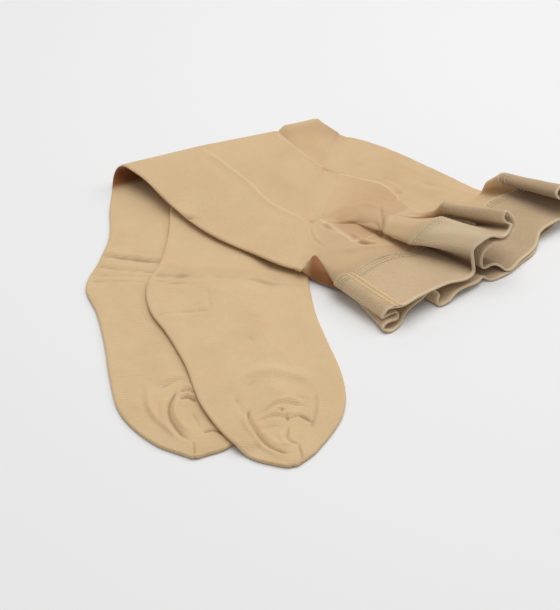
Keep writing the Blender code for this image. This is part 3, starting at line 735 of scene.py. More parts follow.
legKnit = {
    "toeRows": (0.0, 0.0006, 0.0018, 0.0038, 0.0065, 0.010),   # shares of the length
    "sideColumns": (0.0, 0.01, 0.035, 0.08, 0.14, 0.21),       # centimetres from the edge,
    "sideReach": 0.3,                                          # with even columns from here
    "toeNarrow": (0.35, 0.9),     # width left at the very tip, and how far back it is full
    "footRelief": 1.6,            # the feet's creases against their tables
    "deepest": 0.115,             # a crease presses a face in by this much at most
    "closing": (24, 18.0),        # the groove beside the lid closes from this row before the end,
                                  # over this many
    "endDip": 0.06,               # the end dips under the brief
    "insideEvery": 9,             # the knit's inside is drawn on every ninth row
    "footShade": (8.0, 0.062),    # warm shade in the creases: strength, and how deep it begins
    "thighShade": (6.0, 0.06),
    "insideShade": 0.4,
}


def legSkin(leg, relief):
    # closed tube: middle +- normal x (half thickness + creases), an upper and a lower face that
    # meet at the side edges, with the inside of the knit behind them; and its two marks, painted shade
    # and painted highlight
    lowCount, foldCount, highCount = leg["rows"]
    # rows crowd at the very toe, then spread out along the foot
    toe = np.array(legKnit["toeRows"])
    ahead = np.linspace(0.0, 1.0, lowCount - len(toe))
    lowShares = np.concatenate([toe, 0.013 + 0.987 * (0.6 * ahead + 0.4 * ahead ** 2)])
    # both edges where the tube goes into the fold, and where it comes out
    onLine, offLine = onFoldLine(np.reshape(leg["foldEdges"], (2, 2)).T).reshape(2, 4)
    lower = curveThrough(np.vstack([numbers(leg["lower"]), onLine]), lowShares)
    upper = curveThrough(np.vstack([offLine, numbers(leg["upper"])]), np.linspace(0, 1, highCount))
    turn = np.linspace(0.0, pi, foldCount + 2)[1:-1]
    centre = (lower[:, :2] + lower[:, 2:]) / 2
    tip = np.linalg.norm(centre - centre[0], axis=1)[:, None]
    least, full = legKnit["toeNarrow"]
    narrowed = least + (1 - least) * np.sqrt(1 - (1 - np.clip(tip / full, 0, 1)) ** 2)
    lower = np.hstack([centre + (lower[:, :2] - centre) * narrowed,
                       centre + (lower[:, 2:] - centre) * narrowed])

    widths = np.concatenate([np.linalg.norm(lower[:, 2:] - lower[:, :2], axis=1),
                             np.full(foldCount, np.linalg.norm(onLine[2:] - onLine[:2])),
                             np.linalg.norm(upper[:, 2:] - upper[:, :2], axis=1)])[:, None]
    rim = np.array(legKnit["sideColumns"])
    even = np.linspace(0.0, 1.0, leg["across"] - 2 * len(rim) + 2)[1:-1]
    reach = legKnit["sideReach"]
    share = np.concatenate([rim / widths, reach / widths + (1 - 2 * reach / widths) * even,
                            1 - rim[::-1] / widths], axis=1)
    middle = legMiddle(leg, (lower, upper, turn), share)
    normal = gridNormals(middle)
    normal = np.where(normal[:1, :1, 2:] < 0, -normal, normal)

    toSide = np.minimum(share, 1 - share) * widths
    fromToe = runAlong(middle.mean(axis=1))[:, None]
    half = edgeRound(toSide, cloth["tube"] / 2)
    half = np.minimum(half, edgeRound(fromToe, cloth["tube"] / 2))

    x, y = middle[..., 0], middle[..., 1]
    row = np.arange(len(middle))[:, None]
    isLow = ease((lowCount - row) / 30.0)
    isHigh = ease((row - lowCount - foldCount * 0.5) / 30.0)
    ground = legKnit["footRelief"] * creases(x, y, relief) + 0.022 * waves(x, y, 3.2, 11)
    ground = ground + 0.010 * waves(x, y, 1.1, 12)
    faceUp = half + ease(toSide / 0.5) * ease(fromToe / 0.4) * isLow * ground
    over = topRelief(x, y)
    if leg is legOver:
        # smooth under the lid, with the groove beside its edge closed where the brief begins
        covered = coveredBy(x, y, lidEdge())
        rows, length = legKnit["closing"]
        beyond = ease((x - edgeAt(y, lidEdge()) + 0.40) / 0.25)
        closing = beyond * ease((row - len(middle) + rows) / length)
        over = over * (1 - covered * (1 - closing)) + stack * covered * closing
    over = over - legKnit["endDip"] * ease((row - len(middle) + 3.5) / 2)
    faceDown = half + isHigh * over * ease(half / 0.1)
    least = half - legKnit["deepest"]
    outer = tube(middle, normal, np.maximum(faceUp, least), np.maximum(faceDown, least))

    # the inside of the knit: the same tube a wall's width in, on every few rows
    drawn = 0.5 + (share - 0.5) * (1 - 0.2 / widths)
    step = legKnit["insideEvery"]
    kept = np.concatenate([np.arange(14, lowCount - 2, step),
                           np.arange(lowCount - 2, lowCount + foldCount + 2, 2),
                           np.arange(lowCount + foldCount + 4, len(middle) - 4, step),
                           [len(middle) - 1]])
    thin = 0.02 * ease(toSide / 0.3)[kept]
    thin[0] = 0.0
    inner = tube(legMiddle(leg, (lower, upper, turn), drawn)[kept], normal[kept], thin, thin)

    # painted warm shade in the creases and inside the under leg's fold, painted highlight along ridges
    hollow = ease((row - lowCount + 6) / 12.0) * (1 - ease((row - lowCount - foldCount) / 30.0))
    hollow = hollow if leg is legUnder else 0.0 * hollow
    strength, begin = legKnit["footShade"]
    toneUp = np.clip(strength * np.maximum(-ground - begin, 0) * isLow + hollow, 0, 1)
    strength, begin = legKnit["thighShade"]
    toneDown = strength * np.maximum(-over - begin, 0) + creases(x, y, shadeTop)
    toneDown = np.clip(toneDown * isHigh, 0, 1)
    highlightUp = creases(x, y, footHighlights) * isLow
    highlightDown = creases(x, y, edgeHighlights) * isHigh
    marks = []
    for up, down, within in ((toneUp, toneDown, legKnit["insideShade"]), (highlightUp, highlightDown, 0.0)):
        mark = np.concatenate([up, down[:, -2:0:-1]], axis=1)
        marks.append(np.concatenate([mark, np.full((len(inner), mark.shape[1]), within)]))
    return np.concatenate([outer, inner[::-1]]), np.clip(marks, 0, 1)


skinUnder, marksUnder = legSkin(legUnder, reliefUnder)
skinOver, marksOver = legSkin(legOver, reliefOver)

# The tables' zero in the frame: the under leg's heel is the lowest x of its CAD node, its toe
# the lowest y.
lowCorner = np.array(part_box("leg_under")[0])
tableZero = lowCorner - skinUnder.reshape(-1, 3).min(axis=0) * metres
tableZero[2] = 0.0


def toFrame(points):
    # table centimetres x 0.01 + the tables' zero
    return np.asarray(points, float) * metres + tableZero


for leg, skin, (tone, pale) in ((legUnder, skinUnder, marksUnder), (legOver, skinOver, marksOver)):
    piece = makePiece(leg["name"] + "_knit", skin, looks["leg"], True, tone, pale)
    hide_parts(leg["name"])
    leg["piece"] = piece
print("legs made")

band = {
    "width": 4.5,
    "wall": 0.14,
    "ring": 760,            # steps round the ring
    # ripples beside the seam edge: pitch, height, then place and width as shares across the band
    "gathers": (0.34, 0.020, 0.09, 0.075),
    "lip": (0.016, 0.965, 0.02),       # fuller free rim: height, place, width
    "overlockAt": "join",
    "freeRimHighlight": 0.8,        # painted highlight on the two rims
    "seamPale": 0.7,
    "humpHighlight": (0.8, 0.42, 0.032),    # and painted highlight on the hump: strength, share of the line, width
    # painted shade between the waves, in the same way
    "shades": ((0.95, 0.345, 0.014), (0.90, 0.484, 0.008), (0.90, 0.905, 0.040),
               (0.50, 0.650, 0.030), (0.20, 0.740, 0.070), (0.15, 0.945, 0.020)),
    # A row for each bend of the free edge, upper layer from near to far and lower layer back:
    # its place, the heading of the cloth towards it, its rise to the seam edge, and where on
    # the brief's first line that cloth begins (0 near, 1 far).
    "bends": (
        # bend               x      y      z    heading rise  begins
        ("near roll side",   6.63, -2.42, 0.85, -46,  0.15, 0.00),
        ("roll top",         6.95, -2.17, 1.40, -46,  0.20, 0.03),
        ("join",             7.79, -1.99, 1.50, -45,  0.25, 0.07),
        ("panel near",       9.13, -0.88, 1.42, -43,  0.48, 0.14),
        ("panel middle",    11.28,  0.67, 1.30, -32,  0.68, 0.24),
        ("panel foot",      12.60,  1.40, 1.10, -27,  0.75, 0.31),
        ("wall foot",       13.15,  2.04, 1.15, -33,  0.60, 0.335),
        ("wall middle",     13.06,  2.28, 1.90, -29,  0.35, 0.35),
        ("wall top",        12.99,  2.49, 2.75, -10, -0.12, 0.37),
        ("hump near",       13.49,  2.80, 3.10,  -9,  0.05, 0.39),
        ("hump top",        14.40,  3.23, 3.30, -12,  0.40, 0.43),
        ("hump tip",        15.05,  3.36, 3.10, -19,  0.75, 0.46),
        ("neck",            15.56,  3.86, 3.30, -30, -1.00, 0.48),
        ("roll neck",       15.70,  4.13, 3.62, -25, -0.60, 0.49),
        ("roll under",      15.29,  4.30, 3.72, -18, -0.10, 0.50),
        ("roll side",       15.12,  4.42, 4.02, -14,  0.05, 0.515),
        ("roll top",        15.35,  4.60, 4.36, -14,  0.00, 0.53),
        ("roll back",       15.70,  4.60, 4.02, -17,  0.05, 0.55),
        ("behind neck",     16.03,  4.48, 3.20, -20,  0.20, 0.57),
        ("return",          15.34,  3.61, 2.75, -25, -0.30, 0.59),
        ("return crest",    14.45,  3.10, 2.75, -27,  0.60, 0.605),
        ("inner wall top",  13.94,  2.96, 2.35, -28,  0.50, 0.615),
        ("inner wall",      13.72,  2.89, 1.60, -29,  0.60, 0.625),
        ("inner foot",      14.00,  2.98, 0.75, -30,  0.70, 0.635),
        ("ripple",          14.61,  3.12, 0.95, -30,  0.60, 0.645),
        ("ripple end",      15.32,  3.35, 0.55, -30,  0.80, 0.655),
        ("far panel near",  15.54,  3.27, 0.38, -30,  0.90, 0.665),
        ("far panel",       16.84,  4.46, 0.36, -28,  1.20, 0.70),
        ("trough",          18.20,  6.20, 0.36, -27,  1.30, 0.76),
        ("trough end",      18.60,  7.20, 0.70, -26,  1.10, 0.79),
        ("far rise",        19.58,  8.02, 0.90, -24,  1.00, 0.83),
        ("far side",        21.15,  9.12, 1.00, -22,  1.00, 0.88),
        ("far bend",        21.66,  9.38, 1.70, -20,  0.70, 0.90),
        ("far neck",        20.81,  9.26, 2.30, -18,  0.50, 0.92),
        ("far roll under",  20.13,  9.07, 2.30, -17,  0.50, 0.935),
        ("far roll side",   19.84,  9.18, 2.70, -17,  0.45, 0.95),
        ("far roll top",    20.18,  9.56, 3.00, -16,  0.35, 0.965),
        ("far roll back",   21.02,  9.84, 2.60, -16,  0.25, 0.98),
        ("far low",         21.20, 10.10, 1.30, -16,  0.15, 0.99),
        ("far end",         21.00, 10.20, 0.50, -16,  0.05, 1.00),
        ("far hem",         20.30, 10.00, 0.18, -17,  0.00, 0.995),
        ("under far roll",  19.83,  8.69, 0.15, -22,  0.00, 0.93),
        ("under trough",    18.73,  7.39, 0.13, -25,  0.00, 0.85),
        ("under far panel", 17.90,  5.53, 0.13, -28,  0.00, 0.75),
        ("under panel",     16.87,  4.43, 0.13, -29,  0.00, 0.68),
        ("under ripple",    15.39,  2.98, 0.13, -30,  0.00, 0.58),
        ("under hump",      14.35,  2.49, 0.14, -31,  0.00, 0.53),
        ("wave",            14.03,  2.56, 0.30, -32,  0.00, 0.51),
        ("wave",            13.49,  1.95, 0.40, -33,  0.00, 0.47),
        ("wave",            11.91,  0.76, 0.50, -37,  0.00, 0.36),
        ("wave foot",       11.12,  0.01, 0.16, -39,  0.00, 0.30),
        ("wave foot",       10.63, -0.22, 0.14, -40,  0.00, 0.27),
        ("wave side",       10.51,  0.00, 0.35, -40,  0.00, 0.26),
        ("wave side",       10.62,  0.15, 0.70, -40,  0.00, 0.25),
        ("wave top",        10.28,  0.33, 0.95, -40,  0.00, 0.23),
        ("near wave",        9.30, -0.38, 0.75, -42,  0.00, 0.16),
        ("near wave",        8.31, -1.31, 0.50, -44,  0.00, 0.10),
        ("near bottom",      7.80, -2.25, 0.15, -55,  0.00, 0.07),
        ("near hem",         6.98, -2.88, 0.15, -60,  0.00, 0.03),
        ("near hem",         6.68, -2.82, 0.30, -62,  0.00, 0.02),
        ("turned in",        6.84, -2.64, 0.55, -59,  0.00, 0.015),
        ("turned in",        7.71, -2.07, 0.72, -52,  0.00, 0.01),
        ("turned back",      7.70, -1.90, 0.88, -49,  0.00, 0.005),
        ("turned back",      6.97, -2.20, 0.92, -46,  0.10, 0.00),
    ),
}

def bandRing():
    # free edge, seam edge and starting share round the ring, in even steps of the free edge: the
    # seam edge = the free edge - a reach along the heading, and higher by the rise
    table = numbers(band["bends"])
    table = np.vstack([table, table[:1]])
    ring = curveThrough(table, np.linspace(0.0, 1.0, band["ring"], endpoint=False))
    heading = np.radians(ring[:, 3])
    reach = np.sqrt(band["width"] ** 2 - ring[:, 4] ** 2)
    seam = ring[:, :3] + np.column_stack([-reach * np.cos(heading), -reach * np.sin(heading),
                                          ring[:, 4]])
    return ring[:, :3], seam, np.clip(ring[:, 5], 0.0, 1.0)


def smoothRing(values, times):
    # each value becomes (before + 2 x itself + after) / 4, some times over
    for _ in range(times):
        values = (np.roll(values, 1, axis=0) + 2 * values + np.roll(values, -1, axis=0)) / 4
    return values


freeEdge, seamEdge, begins = bandRing()
freeEdge = smoothRing(freeEdge, 2)
seamEdge = smoothRing(seamEdge, 10)
isTop = np.arange(band["ring"]) < np.argmax(begins)
ringRun = runAlong(freeEdge)
# rows across the band, as shares from the seam edge to the free edge
bandShares = np.concatenate([[0.0, 0.01, 0.03], np.linspace(0.06, 0.94, 16), [0.97, 0.99, 1.0]])


def bandFace(shares):
    # straight lines from the seam edge to the free edge, at some shares of the way
    return seamEdge[None] + (freeEdge - seamEdge)[None] * shares[:, None, None]


def bandWall():
    # profile of the wall carried round the ring: outer face, rounded free rim, inner face,
    # rounded seam rim; the faces ripple along the seam edge where the thread gathers them
    shares = bandShares[:, None]
    middle = bandFace(bandShares)
    normal = gridNormals(middle, wrap=True)
    pitch, height, at, wide = band["gathers"]
    gathers = np.sin(ringRun * 2 * pi / pitch + 1.5 * np.sin(ringRun * 1.7))
    ripple = height * gathers[None] * hump(shares, at, wide)
    height, at, wide = band["lip"]
    lip = height * hump(shares, at, wide)
    ripple = ripple + 0.012 * waves(ringRun[None] + 0 * shares,
                                    band["width"] * shares + 0 * ringRun[None], 1.6, 21)
    toEdge = np.minimum(shares, 1 - shares) * band["width"]
    half = edgeRound(toEdge + 0.012, band["wall"] / 2)
    outer = middle + normal * (ripple + half + lip)[..., None]
    inner = middle + normal * (ripple - half - lip)[..., None]
    return middle, normal, ripple + half, np.concatenate([outer, inner[::-1], outer[:1]], axis=0)


bandMiddle, bandNormal, bandOut, bandSkin = bandWall()
upward = np.sign((bandNormal[:, isTop, 2]).mean())
# painted highlight on both rims and on the hump, painted shade between the waves
bandHighlight = np.zeros(bandSkin.shape[:2])
freeRim = len(bandShares)
bandHighlight[freeRim - 3:freeRim + 3] = band["freeRimHighlight"]
bandHighlight[:3] = band["seamPale"]
bandHighlight[-4:] = band["seamPale"]
bandShade = sum(strength * hump(begins, at, wide) for strength, at, wide in band["shades"])
bandShade = bandShade[None] * (1 - bandHighlight) * isTop
strength, at, wide = band["humpHighlight"]
bandHighlight = bandHighlight + (1 - bandHighlight) * strength * hump(begins, at, wide) * isTop
waistband = makePiece("waistband_elastic", bandSkin, looks["elastic"], True,
                      np.clip(bandShade, 0, 1), bandHighlight)
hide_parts("waistband")

brief = {
    "near": np.array([1.20, 2.80]),      # the thighs end on this line
    "far": np.array([5.30, 20.10]),
    "bow": 0.3,                          # swell of the back edge
    "headway": 0.7,                      # how far the cloth holds its way at both ends
    "crowding": 1.25,                    # rows crowd towards the seam by this power
    "inset": (0.12, 0.35),               # begins inside the thighs, and this much more at the back
    "tuck": 0.10,                        # under the band's edge
    "lowest": 0.16,                      # the lower layer's height at the seam
    "stands": (0.86, 0.885, 0.62),       # cloth that stands up: from this share of the line, from
                                         # this share of the way, and how far at first
    "rows": 150,
    "topColumns": 230,
    "bottomColumns": 44,
    "doubled": (8.0, 14.7),              # both thighs lie on each other between these, by y
    # The seam as it would lie with the waves combed out, and how late each wave rises: the
    # power of the share of the way at which it has come up.
    "calm": (
        # share on the line    x      y     z   heading  late
        ("near",      0.00,   3.55,  0.85, 1.10, -46,    3.0),
        ("join",      0.07,   4.75,  1.20, 1.60, -45,    3.0),
        ("panel",     0.17,   6.30,  2.20, 1.80, -41,    2.5),
        ("foot",      0.31,   8.30,  3.45, 2.10, -33,    2.5),
        ("hump",      0.42,   9.60,  4.45, 2.80, -24,    2.5),
        ("neck",      0.49,  10.60,  5.45, 2.50, -19,    6.0),
        ("roll",      0.55,  11.50,  6.30, 2.00, -19,    9.0),
        ("return",    0.62,  12.40,  7.20, 1.50, -22,    9.0),
        ("far panel", 0.72,  13.40,  8.05, 1.15, -25,    5.0),
        ("trough",    0.80,  14.30,  8.90, 1.20, -24,    6.0),
        ("far rise",  0.90,  15.20, 10.00, 1.25, -20,   12.0),
        ("far end",   1.00,  16.60, 11.35, 0.80, -16,   14.0),
    ),
    # The near edge is drawn up into a small tent: share of the way, sideways, inward, up.
    "tent": (
        ("corner",    0.10,   0.10, -0.15, 0.00),
        ("climbing",  0.26,   0.18,  0.65, 0.10),
        ("tip",       0.43,   0.25,  1.62, 0.24),
        ("beyond",    0.56,   0.28,  1.05, 0.16),
        ("falling",   0.74,   0.22,  0.45, 0.06),
        ("roll",      1.00,   0.00,  0.00, 0.00),
    ),
    "tentReach": 0.055,                  # how far along the line it is felt,
    "tentBelow": 0.002,                  # and on the lower layer
    "warm": {"all": 0.06, "ahead": 0.06, "creases": 3.0, "near": 0.10,       # strengths of shade
             "below": 0.12, "inside": 0.78},
}

def briefSheet():
    # Hermite sheet from the thighs' line to the calm seam, leaving each one square to it, plus
    # what the real seam has over the calm one, faded in by a power of the share of the way
    top = np.argmax(begins)
    order = np.concatenate([np.linspace(0, top, brief["topColumns"]),
                            np.linspace(top, band["ring"], brief["bottomColumns"] + 2)[1:-1]])

    def ringAt(values):
        # values round the ring at the sheet's columns
        closed = np.concatenate([values, values[:1]])
        index = np.arange(band["ring"] + 1)
        return np.stack([np.interp(order, index, column) for column in closed.T], axis=1)

    seam = ringAt(seamEdge)
    free = ringAt(freeEdge)
    share = ringAt(begins[:, None])
    flatShare = share[:, 0]
    lower = np.arange(len(order)) >= brief["topColumns"]
    fine = curveThrough(numbers(brief["calm"]), np.linspace(0, 1, 200))
    guide = np.stack([np.interp(flatShare, fine[:, 0], fine[:, k]) for k in range(1, 6)], axis=1)
    side = unit(brief["far"] - brief["near"])
    onward = np.array([side[1], -side[0]])
    start = brief["near"] + share * (brief["far"] - brief["near"])

    # heights at the thighs' line: the pile's top, and under the thighs that lie there
    topZ = pileTop(start[:, 0], start[:, 1]) - cloth["wall"] / 2
    first, second = brief["doubled"]
    doubled = ease((start[:, 1] - first) / cloth["lean"] + 1)
    doubled = doubled * (1 - ease((start[:, 1] - second) / cloth["lean"]))
    bottomZ = topZ - cloth["tube"] + cloth["wall"] - stack * doubled
    startZ = np.where(lower, bottomZ, topZ)

    # the calm seam, with the lower layer's on the surface
    wallShare = np.where(lower, ease(flatShare / 0.02) * ease((1 - flatShare) / 0.004), 0.0)
    calmEnd = guide[:, :3].copy()
    calmEnd[:, 2] = calmEnd[:, 2] * (1 - wallShare) + brief["lowest"] * wallShare
    heading = np.radians(guide[:, 3])
    ruling = np.stack([np.cos(heading), np.sin(heading)], axis=1)
    everywhere, atBack = brief["inset"]
    inset = everywhere + atBack * ease((share - 0.5) / 0.2) * ease((1 - share) / 0.08)
    start = start - inset * onward
    reach = brief["headway"] * np.linalg.norm(calmEnd[:, :2] - start, axis=1)[:, None]
    v = 1 - (1 - np.linspace(0.0, 1.0, brief["rows"])[:, None, None]) ** brief["crowding"]
    plan = hermite(v, reach, start, onward, calmEnd[:, :2], ruling)
    plan = plan + brief["bow"] * np.sin(pi * v) * share ** 4 * side
    v = v[..., 0]
    rise = np.where(lower, ease(v * 2.5), ease(v))
    height = startZ * (1 - rise) + calmEnd[:, 2] * rise
    height = height - 0.012 * (1 - ease((v - 0.004) / 0.02)) - 0.09 * (v < 1e-4)

    # how much of the real seam's waves is up: a power of the way, but at the far roll the cloth
    # stands up all at once, close to the band
    end = seam + unit(free - seam) * brief["tuck"]
    fromShare, fromWay, atFirst = brief["stands"]
    standing = np.where(lower, 0.0, ease((flatShare - fromShare) / 0.04))
    onTop = np.clip((v - 0.92) / 0.08, 0, 1)
    stand = ease((v - fromWay) / 0.04) * (atFirst + (1 - atFirst) * onTop)
    gather = v ** np.where(lower, 3.0, guide[:, 4]) * (1 - standing) + stand * standing
    return np.dstack([plan, height]) + gather[..., None] * (end - calmEnd), lower, flatShare, v


sheet, isLower, startShare, along = briefSheet()
tent = curveThrough(numbers(brief["tent"]), np.linspace(0, 1, 80))
tentAt = np.clip(along, 0.10, 1.0) + 0 * startShare
felt = np.exp(-startShare / np.where(isLower, brief["tentBelow"], brief["tentReach"]))
for axis in range(3):
    sheet[..., axis] += np.interp(tentAt, tent[:, 0], tent[:, axis + 1]) * ease(along / 0.10) * felt
normals = gridNormals(sheet, wrap=True)
if normals[:, ~isLower][..., 2].mean() < 0:
    normals = -normals
x, y = sheet[..., 0], sheet[..., 1]
bumps = topRelief(x, y) + 0.018 * waves(x, y, 1.3, 14) * ease(along / 0.2)
bumps = np.where(isLower, 0.0, bumps) * ease((1 - along) / 0.06)
bumps = bumps + 0.02 * ease((along - 0.965) / 0.02)
sheet = sheet + normals * bumps[..., None]
# warm shade: a little everywhere, more in the creases, by the near edge and on the layer below
shade = brief["warm"]
warm = shade["all"] + shade["ahead"] * ease(along / 0.35)
warm = warm + shade["creases"] * np.clip(-bumps - 0.04, 0.0, 0.3)
warm = warm + shade["near"] * hump(startShare, 0.0, 0.16) * ease(along / 0.5)
below = shade["below"] + shade["inside"] * ease((along - 0.18) / 0.22)
warm = np.where(isLower, below, warm)
briefPiece = makePiece("brief_knit", sheet + normals * cloth["wall"] / 2, looks["brief"], True,
                       np.clip(warm, 0, 1), out=normals)
wall = briefPiece.modifiers.new("wall", "SOLIDIFY")
wall.thickness = cloth["wall"] * metres
wall.offset = -1.0
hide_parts("brief")
print("brief made")

gusset = {
    "rows": 130,
    "across": 110,
    "lift": 0.02,               # off the brief
    # raised seam: height, then place and width in sixtieths of the panel's own width
    "edging": (0.028, 1.2, 0.8),
    # section   along  near  far, as shares of the brief's length and of its upper layer
    "outline": (
        ("throat",  0.022, 0.190, 0.632),
        ("neck",    0.100, 0.190, 0.632),
        ("belly",   0.220, 0.174, 0.652),
        ("widest",  0.380, 0.156, 0.668),
        ("taper",   0.460, 0.148, 0.610),
        ("tip",     0.540, 0.200, 0.530),
        ("end",     0.600, 0.270, 0.460),
    ),
}


def patchOn(grid, rowAt, columnAt):
    # bilinear value of a grid at fractional rows and columns
    i = np.clip(rowAt.astype(int), 0, grid.shape[0] - 2)
    j = np.clip(columnAt.astype(int), 0, grid.shape[1] - 2)
    s = (rowAt - i)[..., None]
    t = (columnAt - j)[..., None]
    near = grid[i, j] * (1 - t) + grid[i, j + 1] * t
    far = grid[i + 1, j] * (1 - t) + grid[i + 1, j + 1] * t
    return near * (1 - s) + far * s


def gussetPanel():
    # the brief's own sheet inside the outline + normal x (half a wall + lift, with a raised seam
    # along both sides); and its two marks: the brief's painted shade with more darkening, and a lighter
    # line along the seam
    rows = curveThrough(numbers(gusset["outline"]), np.linspace(0, 1, gusset["rows"]))
    cross = np.linspace(0.0, 1.0, gusset["across"])[None, :]
    rowAt = np.repeat(rows[:, :1], gusset["across"], axis=1) * (brief["rows"] - 1)
    columnAt = (rows[:, 1:2] * (1 - cross) + rows[:, 2:3] * cross) * (brief["topColumns"] - 1)
    base = patchOn(sheet, rowAt, columnAt)
    out = unit(patchOn(normals, rowAt, columnAt))
    edge = np.minimum(cross, 1 - cross) * 60                    # in sixtieths of the width
    share = np.linspace(0, 1, gusset["rows"])[:, None]
    shown = ease(share / 0.12) * ease((1 - share) / 0.15)       # its ends run in under the brief
    height, place, width = gusset["edging"]
    lift = gusset["lift"] * ease(edge / 2.0) + height * hump(edge, place, width)
    lift = (lift + 0.01) * shown - 0.02
    panel = base + out * (cloth["wall"] / 2 + lift)[..., None]
    # the brief's painted shade here, and 0.15 more darkening faded in from the throat
    shade = patchOn(warm[..., None], rowAt, columnAt)[..., 0] + 0.15 * ease(share / 0.6) * shown
    return panel, np.clip(shade, 0, 1), 0.7 * hump(edge, place, 0.9) * shown


panel, panelShade, seamPale = gussetPanel()
gussetPiece = makePiece("gusset_panel", panel, looks["gusset"], False, panelShade, seamPale,
                        out=panel * 0 + np.array([0.0, 0.0, 1.0]))
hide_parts("gusset")

overlock = {"width": 0.74, "height": 0.14, "pitch": 0.21, "rows": 150, "across": 17,
            "cords": ((1.0, 0.5, 0.32), (0.85, -0.45, 0.30)),   # height, place across, width
            "groove": (0.45, 0.02, 0.16)}                       # its shade between the cords


def overlockRidge():
    # raised seam across the band: two round cords, their height swinging with the thread
    names = [row[0] for row in band["bends"]]
    place = numbers(band["bends"])[names.index(band["overlockAt"])]
    at = int(np.argmin(np.linalg.norm(freeEdge - place[:3], axis=1)))
    step = np.linalg.norm(freeEdge[at + 1] - freeEdge[at])
    run = np.linspace(0.012, 0.985, overlock["rows"])[:, None]
    s = np.linspace(-1.0, 1.0, overlock["across"])[None, :]
    wander = 0.02 * np.sin(run * 9.0)
    columnAt = at - 2 + (s * overlock["width"] / 2 + wander) / step + 0 * run
    fine = 60                                    # rows of the face it is laid on
    rowAt = run * (fine - 1) + 0 * s
    base = patchOn(bandFace(np.linspace(0.0, 1.0, fine)), rowAt, columnAt)
    out = unit(patchOn(np.repeat(bandNormal[10:11], fine, axis=0), rowAt, columnAt))
    length = run * band["width"]
    thread = 0.5 + 0.5 * np.sin(2 * pi * (length / overlock["pitch"] + 0.9 * np.abs(s)))
    cords = sum(k * hump(s, middle, width) for k, middle, width in overlock["cords"])
    height = overlock["height"] * cords * ease((1 - np.abs(s)) / 0.2) * (0.45 + 0.55 * thread)
    strength, middle, width = overlock["groove"]
    groove = strength * hump(s, middle, width) * (0.4 + 0.6 * thread)
    ridge = base + out * (band["wall"] / 2 + height - 0.01)[..., None] * upward
    # painted shade in the groove, painted highlight on the thread's crests
    return ridge, groove, (1 - groove) * (0.3 + 0.6 * thread)


ridge, grooveTone, threadHighlight = overlockRidge()
overlockPiece = makePiece("waistband_overlock", ridge, looks["thread"], False, grooveTone,
                          threadHighlight)
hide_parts("waistband_seam")

stitches = {
    "rows": (0.14, 0.36, 0.58),     # from the seam edge
    "pitch": 0.17,
    "length": 0.15,
    "radius": 0.028,
    "slant": (0.8, 0.6),            # along the row, and across it one way and the other
    # along the stitch and its radius there, as shares
    "profile": ((-1.0, 0.0), (-0.75, 0.8), (0.0, 1.0), (0.75, 0.8), (1.0, 0.0)),
    "sides": 6,
}


def bandStitches():
    # short capsules laid zigzag on the band's outer face along its seam edge: centre + profile
    # along the stitch + its radius x (cos, sin) round it
    surface = bandMiddle + bandNormal * (bandOut * upward)[..., None]
    runs = np.arange(0.1, ringRun[-1] - 0.1, stitches["pitch"])
    columnAt = np.interp(runs, ringRun, np.arange(band["ring"]))
    zig = np.where(np.arange(len(runs)) % 2 == 0, 1.0, -1.0)[:, None]
    centres, ways, ups = [], [], []
    for down in stitches["rows"]:
        rowAt = np.interp(down / band["width"], bandShares, np.arange(len(bandShares))) + 0 * runs
        here = patchOn(surface, rowAt, columnAt)
        out = unit(patchOn(bandNormal, rowAt, columnAt)) * upward
        ahead = patchOn(surface, rowAt, np.minimum(columnAt + 1, band["ring"] - 1.01))
        onward = unit(ahead - here)
        forward, across = stitches["slant"]
        ways.append(unit(onward * forward + np.cross(out, onward) * zig * across))
        centres.append(here + out * stitches["radius"] * 0.5)
        ups.append(out)
    centres, ways, ups = np.concatenate(centres), np.concatenate(ways), np.concatenate(ups)
    sides = np.cross(ways, ups)
    rings = np.array(stitches["profile"])
    turn = np.linspace(0, 2 * pi, stitches["sides"], endpoint=False)
    shape = (rings[:, None, 0, None] * (stitches["length"] / 2) * ways[:, None, None, :]
             + rings[:, None, 1, None] * stitches["radius"]
             * (np.cos(turn)[:, None] * sides[:, None, None, :]
                + np.sin(turn)[:, None] * ups[:, None, None, :]))
    return centres[:, None, None, :] + shape


def makeCapsules(name, points, look):
    # many small closed grids joined in one mesh
    count, rows, columns = points.shape[:3]
    faces, _ = gridFaces(rows, columns, True)
    faces = (faces[None] + (np.arange(count) * rows * columns)[:, None, None]).reshape(-1, 4)
    return makeMesh(name, points, faces, look, {"pale": np.ones(count * rows * columns)})


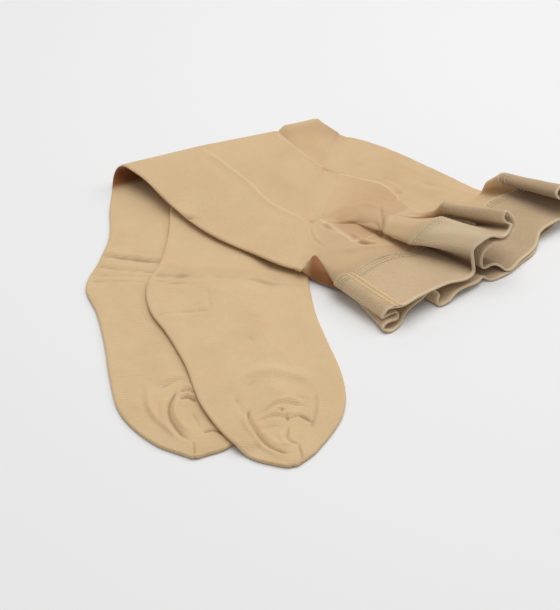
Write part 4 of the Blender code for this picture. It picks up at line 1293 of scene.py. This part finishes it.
stitchPiece = makeCapsules("waistband_stitches", bandStitches(), looks["thread"])
print("seams and stitches made")

tabletop = {"half": 4.0, "drop": 0.0003, "colour": rgb(240, 240, 240), "roughness": 0.6}
half, level = tabletop["half"], -tabletop["drop"]      # just under the cloth, in metres
floorMesh = bpy.data.meshes.new("floor")
floorMesh.from_pydata([(-half, -half, level), (half, -half, level), (half, half, level),
                       (-half, half, level)], [], [(0, 1, 2, 3)])
paleTable, shader = newMaterial("paleTable")
for name, value in (("Base Color", tabletop["colour"]), ("Roughness", tabletop["roughness"]),
                    ("Specular IOR Level", 0.2)):
    shader.inputs[name].default_value = value
floorMesh.materials.append(paleTable)
floor = putInScene("floor", floorMesh)

lights = {
    # light      place in metres        size  watts
    "overhead": ((0.10, 0.38, 1.75),    1.70, 23.0),
    "window":   ((1.10, 0.60, 1.00),    0.60, 3.0),
}
for name, (place, size, power) in lights.items():
    lamp = bpy.data.lights.new(name, "AREA")
    lamp.size = size
    lamp.energy = power
    lampObject = putInScene(name, lamp)
    lampObject.location = place
    way = -np.array(place) / np.linalg.norm(place)
    lampObject.rotation_euler = (float(np.arccos(-way[2])), 0.0,
                                 float(np.arctan2(way[1], way[0]) - pi / 2))

studio = {"colour": (0.98, 0.98, 0.99, 1.0), "strength": 0.38}
world = bpy.data.worlds.new("studio")
world.use_nodes = True
background = world.node_tree.nodes["Background"]
background.inputs["Color"].default_value = studio["colour"]
background.inputs["Strength"].default_value = studio["strength"]
bpy.context.scene.world = world
bpy.context.scene.view_settings.view_transform = "Standard"

view = {"elevation": radians(40.0), "distance": 0.7333, "lens": 64.92, "sensor": 36.0}
camera = bpy.data.cameras.new("camera")
camera.lens = view["lens"]
camera.sensor_width = view["sensor"]
cameraObject = putInScene("camera", camera)
back = np.array([0, -cos(view["elevation"]), sin(view["elevation"])])
cameraObject.location = toFrame([0.0, 0.0, 0.0]) + view["distance"] * back
cameraObject.rotation_euler = (pi / 2 - view["elevation"], 0.0, 0.0)
bpy.context.scene.camera = cameraObject
print("floor, lights and camera set")
